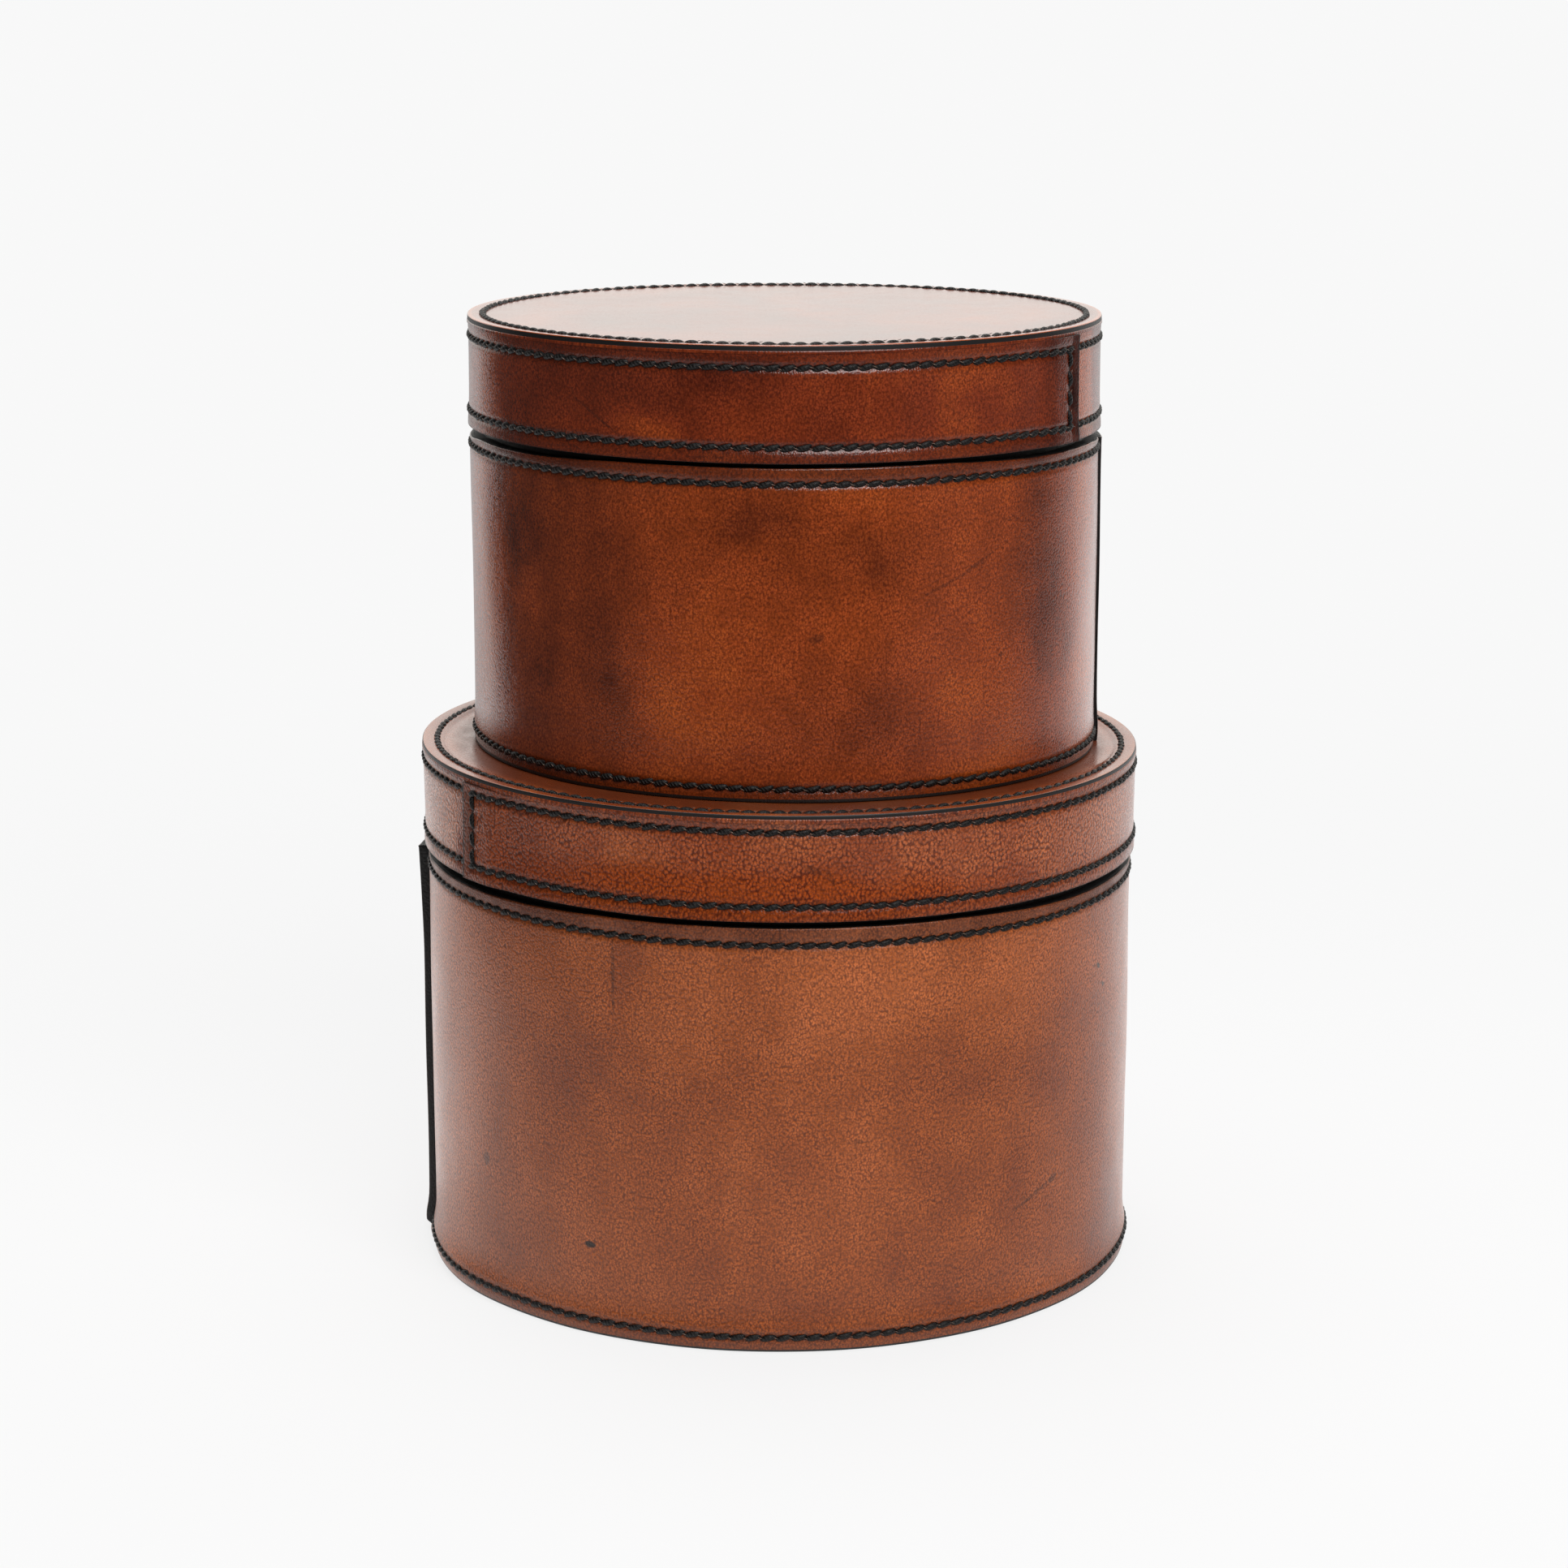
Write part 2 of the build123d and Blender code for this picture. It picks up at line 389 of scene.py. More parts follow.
    def section(self):
        """Closed section, from the inner lower corner round the outside: radius, height, how much each
        point follows the outer face, and its edge paint."""
        inner, outer, low, high = self.inner, self.radius, self.low, self.high
        inset = 0.25 * MM  # of the upper inner edge
        # black up to here: edge paint, on a wall also a painted contact shade at its foot
        foot = low + self.foot_paint
        rows = [(inner + t * (outer - self.low_round - inner), low, t, 1) for t in (0, 0.25, 0.5, 0.75)]
        middle, r = (outer - self.low_round, low + self.low_round), self.low_round
        for t in np.linspace(0, math.pi / 2, 6):
            rows.append((middle[0] + r * math.sin(t), middle[1] - r * math.cos(t), 1, 1))
        for height in self.face_heights():
            rows.append((outer, height, 1, 1 - smooth(height, foot, foot + 0.2 * MM)))
        middle, r = (outer - self.high_round, high - self.high_round), self.high_round
        for t in np.linspace(0, math.pi / 2, 8):
            rows.append((middle[0] + r * math.cos(t), middle[1] + r * math.sin(t), 1, smooth(t, 0.9, 1.35)))
        for t in (0.25, 0.5, 0.75, 1):
            rows.append((inner + inset + (1 - t) * (middle[0] - inner - inset), high, 1 - t, 1))
        rows += [(inner, height, 0, 1) for height in np.linspace(high - inset, low, 6, endpoint=False)]
        return [np.array(values, float) for values in zip(*rows)]

    def face_heights(self):
        """Heights of the outer face's rings, closer together at the rows and the edges."""
        low, high, foot = self.low + self.low_round, self.high - self.high_round, self.low + self.foot_paint
        heights = list(np.arange(low + 2.5 * MM, high - 2.5 * MM, 2.2 * MM))
        for row in self.rows:
            heights = [h for h in heights if abs(h - row) > 3 * MM]
            heights += [row + 0.24 * MM * i for i in range(-12, 13)]
        heights += [high - 0.4 * MM * i for i in range(1, 3)]
        heights = [h for h in heights if low + 0.2 * MM < h < high - 0.2 * MM and abs(h - foot) > 0.3 * MM]
        return sorted(heights + [foot + 0.1 * MM * i for i in range(3)])

    def shading(self, along, height, dyes, warm):
        """Attributes of the dye and of painted light: its patches, some of them painted light, where it
        soaked in, and the dark furrows of the rows, darker dye with painted shade.
        """
        seam, (low_row, high_row) = self.leather.seam_inset, self.rows
        unsewn = np.maximum(seam - 0.5 * MM - along, 0)
        gaps = [np.abs(height - row) + unsewn for row in self.rows]
        gaps.append(np.where((height > low_row) & (height < high_row), np.abs(along - seam), 1))
        gap = np.minimum.reduce(gaps)
        flap = self.flap_soak * (1 - smooth(along, seam - 1.2 * MM, seam + 0.4 * MM))
        # the laps, the rows, below and above the rows, and beside a band's free edge
        soaked = (
            flap,
            0.4 * bell(gap, 1.5 * MM),
            self.foot_soak * (1 - smooth(height, low_row - MM, low_row)),
            (0.65 if self.wall else 0.3) * smooth(height, high_row, high_row + MM),
            (0 if self.wall else 0.3) * bell(self.girth - along, 2 * MM),
        )
        return {
            # row: the dark furrow along each row, darker dye with painted shade where the thread pulls the
            # leather in
            "row": np.maximum(0.9 * bell(gap, 0.8 * MM), 0.35 * flap),
            "soak": np.maximum.reduce(soaked),
            # patches of dye, with painted light in the lighter patches at the sides
            "dye": self.patches(along, height, dyes),
            "warm": self.patches(along, height, warm),
            "grain": np.ones_like(gap),
        }

    def patches(self, along, height, places):
        """Soft patches, given by their angle from the front in degrees, height, half width and half height
        in millimetres, softness of the edge and strength."""
        turn = self.side * along / self.radius + self.lap_angle
        x = ((turn + math.pi) % FULL_TURN - math.pi) * self.radius
        x = x + waves(along, height, self.seed + 7, 12 * MM, 45 * MM, 1.0 * MM)
        z = height + waves(along, height, self.seed + 8, 10 * MM, 35 * MM, 1.2 * MM)
        total = 0 * x
        for degrees, level, half_width, half_height, softness, strength in places:
            across = np.abs(x - math.radians(degrees) * self.radius) / (half_width * MM)
            up = np.abs(z - level * MM) / (half_height * MM)
            reach = (across**3 + up**3) ** (1 / 3)
            total = total + strength * (1 - smooth(reach, 1 - softness, 1 + softness))
        return total


# Mesh building


def new_object(name, data):
    piece = bpy.data.objects.new(name, data)
    bpy.context.scene.collection.objects.link(piece)
    return piece


def add_layer(mesh, key, values, kind="FLOAT", field="value"):
    """Keeps a value for each point of a mesh."""
    layer = mesh.attributes.new(key, kind, "POINT")
    layer.data.foreach_set(field, np.asarray(values, np.float32).ravel())


def set_uvs(mesh, name, uvs):
    mesh.uv_layers.new(name=name).data.foreach_set("uv", np.asarray(uvs, np.float32).ravel())


def shade_softly(mesh):
    mesh.shade_smooth()
    mesh.set_sharp_from_angle(angle=math.radians(40))


def face_outward(mesh):
    shape = bmesh.new()
    shape.from_mesh(mesh)
    bmesh.ops.recalc_face_normals(shape, faces=shape.faces)
    shape.to_mesh(mesh)
    shape.free()


def build_mesh(name, corners, faces, uvs, layers, material):
    """A smooth mesh object that leans with the boxes, with the unrolled hide as its UV map."""
    mesh = bpy.data.meshes.new(name)
    corners[:, 2] = lean(corners[:, 0], corners[:, 2])
    mesh.from_pydata(corners.tolist(), [], faces)
    set_uvs(mesh, LEATHER_COORDS, uvs)
    for key, values in layers.items():
        add_layer(mesh, key, values)
    mesh.materials.append(material)
    shade_softly(mesh)
    mesh.validate()
    return new_object(name, mesh)


def strap_piece(name, strap, dyes, warm, material):
    """Turns a strap's section round its box, with the step of the lap."""
    columns = strap.columns()
    radius, level, follow, paint = strap.section()
    count, ring = len(columns), len(radius)
    along, height = np.broadcast_arrays(columns[:, None], level[None, :])
    face = strap.face(along, np.clip(height, strap.low, strap.high))
    reach = radius + (face - strap.radius) * follow
    turn = strap.turn(along)
    ragged = waves(along, 0 * height, strap.seed + 50, 3 * MM, 14 * MM, 0.05 * MM)
    z = height + ragged * paint * (height > strap.low + MM)
    if strap.wall:
        # the rim is worn lower at the sides, and most where it turns away from the camera
        aside = np.abs(np.cos(turn))
        worn = smooth(aside, 0.42, 0.82) + smooth(aside, 0.95, 1.0)
        z = z - MM * worn * smooth(height, strap.high - 2.6 * MM, strap.high)
    corners = np.stack([*around(strap.centre, reach, turn), z], -1).reshape(-1, 3)
    outward = np.concatenate([[0], np.cumsum(np.hypot(np.diff(radius), np.diff(level)))])
    across = np.where(follow == 1, level, level[0] - outward)
    faces, uvs = [], []
    for k in range(count):
        k2 = (k + 1) % count
        u, u2 = columns[k], columns[k2] if k2 else columns[k] + strap.rise
        for j in range(ring):
            j2 = (j + 1) % ring
            quad = [(k, j), (k2, j), (k2, j2), (k, j2)]
            uv = [(u, across[j]), (u2, across[j]), (u2, across[j2]), (u, across[j2])]
            faces.append([x * ring + y for x, y in quad[:: strap.side]])
            uvs.extend(uv[:: strap.side])
    painted = (0.25 if strap.wall else 0.9) * MM
    free_edge = np.maximum(bell(along, painted), np.exp(-(strap.girth - along) / (0.05 * MM)) * 0.8)
    layers = strap.shading(along, height, dyes, warm)
    layers["paint"] = np.clip(np.maximum(paint, free_edge), 0, 1)
    return build_mesh(name, corners, faces, uvs, layers, material)


def disc_piece(name, centre, section, material, sides, seed, unevenness):
    """Turns an open section from the lower pole to the upper one. A point of it is radius, height, edge
    paint, the row's dark furrow with its painted shade, soaked dye and painted shade, a patch of dye and
    painted highlight, and grain."""
    radius, height, *values = (np.array(numbers, float) for numbers in zip(*section))
    ring = len(radius)
    turn = FRONT + np.linspace(0, FULL_TURN, sides, endpoint=False)[:, None]
    x, y = around((0, 0), radius, turn)
    upper = np.arange(ring) >= ring // 2
    wave = waves(x, y, seed, 30 * MM, 90 * MM, unevenness)
    wave -= wave.max()
    z = height + wave * upper * smooth(radius.max() - radius, 0, 3 * MM)
    corners = np.stack([centre[0] + x, centre[1] + y, z], -1).reshape(-1, 3)
    low_pole, high_pole = len(corners), len(corners) + 1
    poles = [(*centre, height[0]), (*centre, z[:, -1].mean())]
    corners = np.concatenate([corners, poles])
    faces = []
    for k in range(sides):
        here, there = k * ring, (k + 1) % sides * ring
        faces.append([low_pole, there, here])
        faces += [[here + j, there + j, there + j + 1, here + j + 1] for j in range(ring - 1)]
        faces.append([here + ring - 1, there + ring - 1, high_pole])
    # the hide lies flat on the disc, and is spread outwards where it comes down over the edge
    flat = corners[:, :2] - np.array(centre)
    distance = np.hypot(flat[:, 0], flat[:, 1])
    middle, half = height.mean(), 0.45 * (height.max() - height.min())
    edge = np.append(np.tile(np.abs(height - middle) < half, sides), [False, False])
    stretch = np.where(edge, corners[:, 2] - middle, 0) / np.maximum(distance, MM)
    flat = flat * (1 + stretch * (distance > radius.max() - MM))[:, None]
    uvs = [flat[corner] for face in faces for corner in face]
    layers = dict(zip(("paint", "row", "soak", "dye", "grain"), values))
    layers = {key: np.append(np.tile(layer, sides), [layer[0], layer[-1]]) for key, layer in layers.items()}
    return build_mesh(name, corners, faces, uvs, layers, material)


def plain_mesh(piece):
    """Applies a piece's geometry nodes and leaves a plain mesh."""
    depsgraph = bpy.context.evaluated_depsgraph_get()
    depsgraph.update()
    made = piece.evaluated_get(depsgraph)
    mesh = bpy.data.meshes.new_from_object(made, preserve_all_data_layers=True, depsgraph=depsgraph)
    piece.modifiers.clear()
    piece.data = mesh
    mesh.name = piece.name


def finish_piece(piece, body, slot, *nodes):
    """Puts a piece on its body and hides the CAD nodes that it takes the place of."""
    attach(piece, body)
    if nodes:
        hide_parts(*nodes)


# Materials


def add_node(tree, kind, inputs=(), out=0, **settings):
    """Adds a node and returns one of its outputs. An input is a value or the output that feeds it."""
    node = tree.nodes.new(kind)
    for name, value in settings.items():
        setattr(node, name, value)
    for name, value in inputs.items() if isinstance(inputs, dict) else enumerate(inputs):
        if isinstance(value, bpy.types.NodeSocket):
            tree.links.new(value, node.inputs[name])
        else:
            node.inputs[name].default_value = value
    return node.outputs[out] if len(node.outputs) else None


def with_nodes(owner):
    """Empties the node tree of a new material or world, and returns it with its helper for nodes."""
    owner.use_nodes = True
    owner.node_tree.nodes.clear()
    return owner, partial(add_node, owner.node_tree)


def opaque(colour, share=1.0):
    """A colour with alpha, made darker by a share."""
    return (*(part * share for part in colour), 1.0)


def saddle_leather(name, finish, colours, seed, marks):
    """Saddle leather, dyed by hand, waxed and polished: cloudy brown, pebbled, glossy, with black painted
    edges. The dye is darker in the grain and on the laps. Light is painted in as well: highlights on the
    pebbles, and shade in the furrows of the grain and of the sewn rows."""
    material, add = with_nodes(bpy.data.materials.new(name))
    hide = add("ShaderNodeUVMap", uv_map=LEATHER_COORDS)
    shift, stretch = (seed * 0.37, seed * 0.19, 0), (1.12, 0.88, 1)
    place = add("ShaderNodeMapping", {"Vector": hide, "Location": shift, "Scale": stretch})
    dye, warm, soak, row, paint, grain = (
        add("ShaderNodeAttribute", out="Fac", attribute_name=key)
        for key in ("dye", "warm", "soak", "row", "paint", "grain")
    )
    # clouds of dye 40 mm and 9 mm wide
    clouds = add(NOISE, {"Vector": place, "Scale": 1 / 0.040, "Detail": 3.0, "Distortion": 0.4}, **FLAT)
    patches = add(NOISE, {"Vector": place, "Scale": 1 / 0.009, "Detail": 4.0, "Roughness": 0.6}, **FLAT)
    tone = add(MATH, (clouds, finish.clouds, 0.29 - finish.clouds / 2), **TIMES_PLUS)
    for part, weight in ((patches, 0.42), (dye, 0.5)):
        tone = add(MATH, (part, weight, tone), **TIMES_PLUS)
    colour = add("ShaderNodeValToRGB", {"Fac": tone})
    stops = colour.node.color_ramp.elements
    stops[0].position, stops[0].color = 0.1, opaque(finish.dark)
    stops[1].position, stops[1].color = 0.9, opaque(finish.light)
    stops.new(0.5).color = opaque(finish.middle)
    colour = add(MIX, {0: warm, 6: colour, 7: opaque(colours.warm)}, 2, **COLOURS)
    # pebbled grain under 1 mm wide, with dye and painted shade in its furrows, painted highlights on its
    # pebbles, and specks
    warp = add(NOISE, {"Vector": place, "Scale": 1 / 0.003, "Detail": 1.0}, "Color", **FLAT)
    bent = add(VECTOR_MATH, (warp, (0.7 * MM,) * 3, place), **TIMES_PLUS)
    size = 1 / finish.pebble
    pebbles = add("ShaderNodeTexVoronoi", {"Vector": bent, "Scale": size}, voronoi_dimensions="2D")
    furrow = add(RANGE, (pebbles, 0.15, 0.72, 0.0, 1.0), **SOFTLY)
    grained = add(MIX, {0: furrow, 6: (1.3, 1.28, 1.26, 1), 7: (0.44, 0.33, 0.28, 1)}, 2, **COLOURS)
    much = add(RANGE, (patches, 0.35, 0.62, finish.grain * 0.7, finish.grain * 1.25), **SOFTLY)
    much = add(MATH, (much, grain), **TIMES)
    colour = add(MIX, {0: much, 6: colour, 7: grained}, 2, **SHADED)
    specks = add(NOISE, {"Vector": place, "Scale": 1 / 0.0008, "Detail": 2.0, "Roughness": 0.7}, **FLAT)
    speck = add(RANGE, (specks, 0.3, 0.7, 0.68, 1.3), **SOFTLY)
    colour = add(MIX, {0: grain, 6: colour, 7: speck}, 2, **SHADED)
    # dye at the rows, the laps and the marks, painted shade in the rows' furrows and round the small box,
    # and paint on the edges
    uneven = add(RANGE, (patches, 0.3, 0.6, 0.65, 1.0), **SOFTLY)
    soaked = add(MATH, (soak, uneven), **TIMES)
    soaked = add(MATH, (soaked, row), **LARGER)
    colour = add(MIX, {0: soaked, 6: colour, 7: (0.14, 0.1, 0.09, 1)}, 2, **SHADED)
    for spot, turn, reach, strength in marks:
        near = add("ShaderNodeMapping", (hide, spot, turn, reach), vector_type="TEXTURE")
        near = add(VECTOR_MATH, (near,), "Value", **LENGTH)
        mark = add(RANGE, (near, 1.2, 0.7, 0.0, strength), **SOFTLY)
        colour = add(MIX, {0: mark, 6: colour, 7: (0.012, 0.006, 0.004, 1)}, 2, **COLOURS)
    ragged = add(MATH, (specks, 0.3, paint), **TIMES_PLUS)
    painted = add(RANGE, (ragged, 0.6, 0.72, 0.0, 1.0), **SOFTLY)
    colour = add(MIX, {0: painted, 6: colour, 7: opaque(colours.edge_paint)}, 2, **COLOURS)
    # shine: duller in the grain and where dye soaked in, even on the paint
    polish = finish.roughness - 0.08
    rough = add(RANGE, (patches, 0.3, 0.7, polish, polish + 0.04), **SOFTLY)
    for part, weight in ((furrow, 0.06), (soaked, 0.18), (grain, 0.06)):
        rough = add(MATH, (part, weight, rough), **TIMES_PLUS)
    rough = add(RANGE, (painted, 0.0, 1.0, rough, 0.5))
    shine = add(RANGE, (warm, 0.0, 1.0, 0.5, 0.2))
    shine = add(RANGE, (soaked, 0.5, 1.0, shine, 0.12))
    # relief, in millimetres
    swell = add(NOISE, {"Vector": place, "Scale": 1 / 0.006, "Detail": 1.0}, **FLAT)
    relief = add(MATH, (specks, finish.relief), **TIMES)
    for part, weight in ((furrow, -1.3 * finish.relief), (swell, 0.03)):
        relief = add(MATH, (part, weight, relief), **TIMES_PLUS)
    relief = add(MATH, (relief, grain), **TIMES)
    bump = add(BUMP, {"Height": relief, "Distance": MM})
    looks = {"Base Color": colour, "Roughness": rough, "Specular IOR Level": shine, "Normal": bump}
    add(MATERIAL_OUTPUT, {"Surface": add(SHADER, {**looks, "IOR": 1.5})})
    return material


def fuzzy_material(name, colour, fibre, roughness, depth):
    """A matt fibrous sheet, such as suede or grey board: short fibres give it fine, soft specks."""
    material, add = with_nodes(bpy.data.materials.new(name))
    place = add(COORDS, out="Object")
    nap = add(NOISE, {"Vector": place, "Scale": 1 / fibre, "Detail": 4.0, "Roughness": 0.7})
    brushed = add(NOISE, {"Vector": place, "Scale": 1 / 0.02, "Detail": 2.0})
    tone = add(RANGE, (add(MATH, (nap, brushed)), 0.7, 1.3, 0.0, 1.0), **SOFTLY)
    tones = add(MIX, {0: tone, 6: opaque(colour, 0.6), 7: opaque(colour)}, 2, **COLOURS)
    bump = add(BUMP, {"Height": nap, "Distance": depth})
    looks = {"Base Color": tones, "Roughness": roughness, "Sheen Weight": 0.3, "Normal": bump}
    add(MATERIAL_OUTPUT, {"Surface": add(SHADER, looks)})
    return material


def thread_material(name, colours):
    """Linen thread of twisted plies, waxed black: the ridges of the plies are painted lighter as thin
    slanted highlights, and the grooves darker as painted shade. A pale fleck at each hole is a painted
    glint."""
    material, add = with_nodes(bpy.data.materials.new(name))
    strand = add("ShaderNodeUVMap", uv_map="strand")
    parts = add("ShaderNodeSeparateXYZ", {"Vector": strand}).node.outputs
    # a stitch shows five ply lines, 0.8 mm apart, with painted highlights on the ridges and painted shade in
    # the grooves
    lead = add(MATH, (parts["X"], FULL_TURN * 5), **TIMES)
    phase = add(MATH, (parts["Y"], -FULL_TURN * 3, lead), **TIMES_PLUS)
    ridge = add(MATH, (phase,), operation="SINE")
    high = add(RANGE, (ridge, -0.1, 0.95, 0.0, 1.0), **SOFTLY)
    # the grooves' painted shade and the ridges' painted highlight
    dark, light = opaque(colours.thread, 0.3), opaque(colours.thread, 2.6)
    tones = add(MIX, {0: high, 6: dark, 7: light}, 2, **COLOURS)
    # a pale painted glint at the hole, on the fleck's part of the strand map
    fleck = add(MATH, (parts["X"], 1.5), operation="GREATER_THAN")
    tones = add(MIX, {0: fleck, 6: tones, 7: opaque(colours.burr)}, 2, **COLOURS)
    bump = add(BUMP, {"Height": high, "Distance": 0.2 * MM})
    looks = {"Base Color": tones, "Roughness": 0.5, "Specular IOR Level": 0.3, "Normal": bump}
    add(MATERIAL_OUTPUT, {"Surface": add(SHADER, looks)})
    return material


def sleeve_leather(name, colours):
    """Smooth calf leather, dyed dark: fine grain and a dull shine, rubbed where the lid slides."""
    material, add = with_nodes(bpy.data.materials.new(name))
    place = add(COORDS, out="Object")
    grain = add("ShaderNodeTexVoronoi", {"Vector": place, "Scale": 1 / (0.6 * MM)})
    rub = add(NOISE, {"Vector": place, "Scale": 1 / 0.02, "Detail": 5.0})
    tone = add(RANGE, (rub, 0.35, 0.7, 0.0, 1.0), **SOFTLY)
    tones = add(MIX, {0: tone, 6: opaque(colours.sleeve, 0.5), 7: opaque(colours.sleeve)}, 2, **COLOURS)
    rough = add(RANGE, (rub, 0.3, 0.7, 0.5, 0.36), **SOFTLY)
    bump = add(BUMP, {"Height": grain, "Distance": 0.05 * MM})
    add(MATERIAL_OUTPUT, {"Surface": add(SHADER, {"Base Color": tones, "Roughness": rough, "Normal": bump})})
    return material


# Leather pieces

# Creases, scratches and specks: degrees from the front, height, length and width in millimetres, tilt in
# degrees and strength
MARKS = {
    "large_wall": [
        (-30.5, 22.5, 3.0, 1.4, -3, 0.95), (-53.7, 36, 3.4, 2.4, 70, 0.5), (61.5, 83, 1.9, 1.0, -40, 0.9),
        (63.5, 77.5, 1.6, 0.9, -30, 0.8), (44, 31, 15, 0.9, 20, 0.4), (48.5, 33.5, 3, 1.6, 30, 0.45),
        (-26, 91, 0.9, 16, 0, 0.4), (12, 52, 2.4, 1.4, 0, 0.25), (27, 95, 9, 0.5, -65, 0.25),
    ],
    "small_wall": [
        (30, 182, 22, 0.7, 22, 0.3), (36, 186, 9, 0.6, 24, 0.36), (5.5, 170, 3.4, 2, 15, 0.4),
        (41, 163, 1.2, 1.0, 0, 0.5),
    ],
    "large_lid": [(5, 118.5, 5, 1.6, -18, 0.35), (7.5, 117, 4, 1.2, -60, 0.3)],
    "small_lid": [(-34, 220, 14, 0.6, -32, 0.42), (-39, 225, 5, 0.5, -60, 0.3)],
}
# Patches where the dye went on darker, below 0, or lighter: degrees from the front, height, half width and
# half height in millimetres, softness and strength. The strong lighter patches at about 70 degrees to the
# left and the right are painted light: they brighten the sides of the walls and bands.
DYES = {
    "large_wall": [
        (-38, 66, 15, 12, 0.9, -0.15), (-24, 92, 4, 11, 0.8, -0.3), (12, 84, 16, 18, 0.7, 0.25),
        (25, 64, 10, 10, 0.8, -0.2), (22, 40, 9, 12, 0.8, -0.2), (-30, 24, 30, 16, 0.7, 0.15),
        (-16, 26, 8, 12, 0.8, -0.3), (5, 22, 14, 12, 0.7, 0.35), (-50, 60, 16, 30, 0.7, 0.15),
        (2, 44, 20, 14, 0.8, 0.2), (42, 50, 24, 50, 0.7, -0.15), (39, 84, 12, 12, 0.8, 0.3),
        (-15, 52, 9, 9, 0.8, -0.25), (-33, 47, 10, 10, 0.8, 0.2), (45, 50, 9, 12, 0.8, -0.15),
        (22, 22, 7, 8, 0.8, -0.2), (31, 22, 7, 8, 0.8, 0.2), (-70, 52, 22, 70, 0.5, 0.8),
    ],
    "small_wall": [
        (-49, 170, 28, 50, 0.25, -0.36), (-72, 165, 12, 60, 0.8, 1.1), (70, 170, 10, 60, 0.5, 0.4),
        (-30, 154, 8, 22, 0.8, -0.3), (0, 166, 9, 9, 0.8, -0.15), (22, 144, 8, 8, 0.8, -0.2),
        (-52, 192, 8, 12, 0.7, -0.25), (-38, 143, 14, 10, 0.7, 0.25), (-16, 166, 18, 16, 0.7, 0.05),
        (-7, 190, 8, 8, 0.8, -0.2), (-3, 199, 12, 5, 0.8, -0.4), (8, 188, 12, 10, 0.7, -0.3),
        (23, 190, 9, 10, 0.8, -0.3), (16, 146, 16, 14, 0.8, -0.15), (42, 190, 12, 14, 0.7, -0.12),
        (54, 186, 10, 26, 0.7, -0.45), (37, 145, 15, 16, 0.7, 0.4),
    ],
    "large_lid": [
        (-50, 117, 16, 8, 0.7, -0.05), (-36, 112.5, 15, 3.5, 0.8, -0.55), (-37, 118, 14, 10, 0.8, -0.2),
        (-22, 117, 8, 10, 0.7, 0.5), (-40, 110, 9, 4, 0.7, -0.3), (40, 121, 45, 8, 0.5, 0.12),
        (-8, 119, 18, 8, 0.7, 0.15), (6, 118, 10, 3, 0.8, -0.3), (58, 118, 18, 12, 0.7, 0.5),
        (-71, 119, 14, 20, 0.8, 1.5), (-28, 118, 8, 10, 0.8, 0.25),
    ],
    "small_lid": [
        (-54, 224, 22, 16, 0.35, -0.25), (-72, 223, 12, 20, 0.8, 1.2), (68, 223, 6, 20, 0.4, 0.9),
        (56, 223, 6, 20, 0.6, -0.4), (-25, 224, 19, 14, 0.8, -0.65), (-24, 218, 7, 3.5, 0.7, 0.55),
        (-4, 222, 9, 7, 0.8, 0.3), (13, 223, 9, 8, 0.8, -0.15), (23, 223, 5, 8, 0.8, -0.3),
        (38, 223, 16, 14, 0.7, 0.3), (-8, 231, 9, 4, 0.8, -0.3),
    ],
}
# The same for the warm dye
WARM_DYES = {
    "large_lid": [
        (-12, 111.5, 60, 6, 0.4, 0.8), (-8, 119, 28, 7, 0.7, 0.4), (10, 109.5, 45, 4.5, 0.6, 0.4),
        (-59.9, 110.5, 2.6, 5.5, 0.4, 1.0),
    ],
}


def marks_on(strap, places):
    """A strap's marks on the unrolled hide: where each lies, its turn, its reach and its strength."""
    found = []
    for degrees, height, long, wide, tilt, strength in places:
        away = (math.radians(degrees) - strap.lap_angle) * strap.side % FULL_TURN
        reach = (long * MM * 0.55, wide * MM * 0.6, 1)  # half its size, and a little more for the soft rim
        turn = (0, 0, math.radians(tilt) * strap.side)
        found.append(((away * strap.radius, height * MM, 0), turn, reach, strength))
    return found


def leather_name(box, part):
    return f"polished saddle leather, {box.name} {part}"


def dressed_strap(box, strap, part, name):
    """A wall or band with its own leather, marks, and patches of dye and of painted light."""
    settings, key = bpy.context.scene.collar_boxes, f"{box.name}_{part}"
    marks, seed = marks_on(strap, MARKS[key]), DYE_SEEDS[part] + box.number
    leather = saddle_leather(leather_name(box, part), getattr(settings, key), settings.colours, seed, marks)
    return strap_piece(name, strap, DYES[key], WARM_DYES.get(key, []), leather)


class COLLARBOXES_OT_walls(Operator):
    """Make the leather walls, each one strap closed in a lapped seam"""

    bl_idname = "collar_boxes.walls"
    bl_label = "Walls"

    def execute(self, context):
        for box in boxes():
            wall = dressed_strap(box, Strap(box, "wall"), "wall", f"{box.name}_wall_strap")
            finish_piece(wall, f"{box.name}_body", "saddle_leather", f"{box.name}_wall_leather")
        return {"FINISHED"}


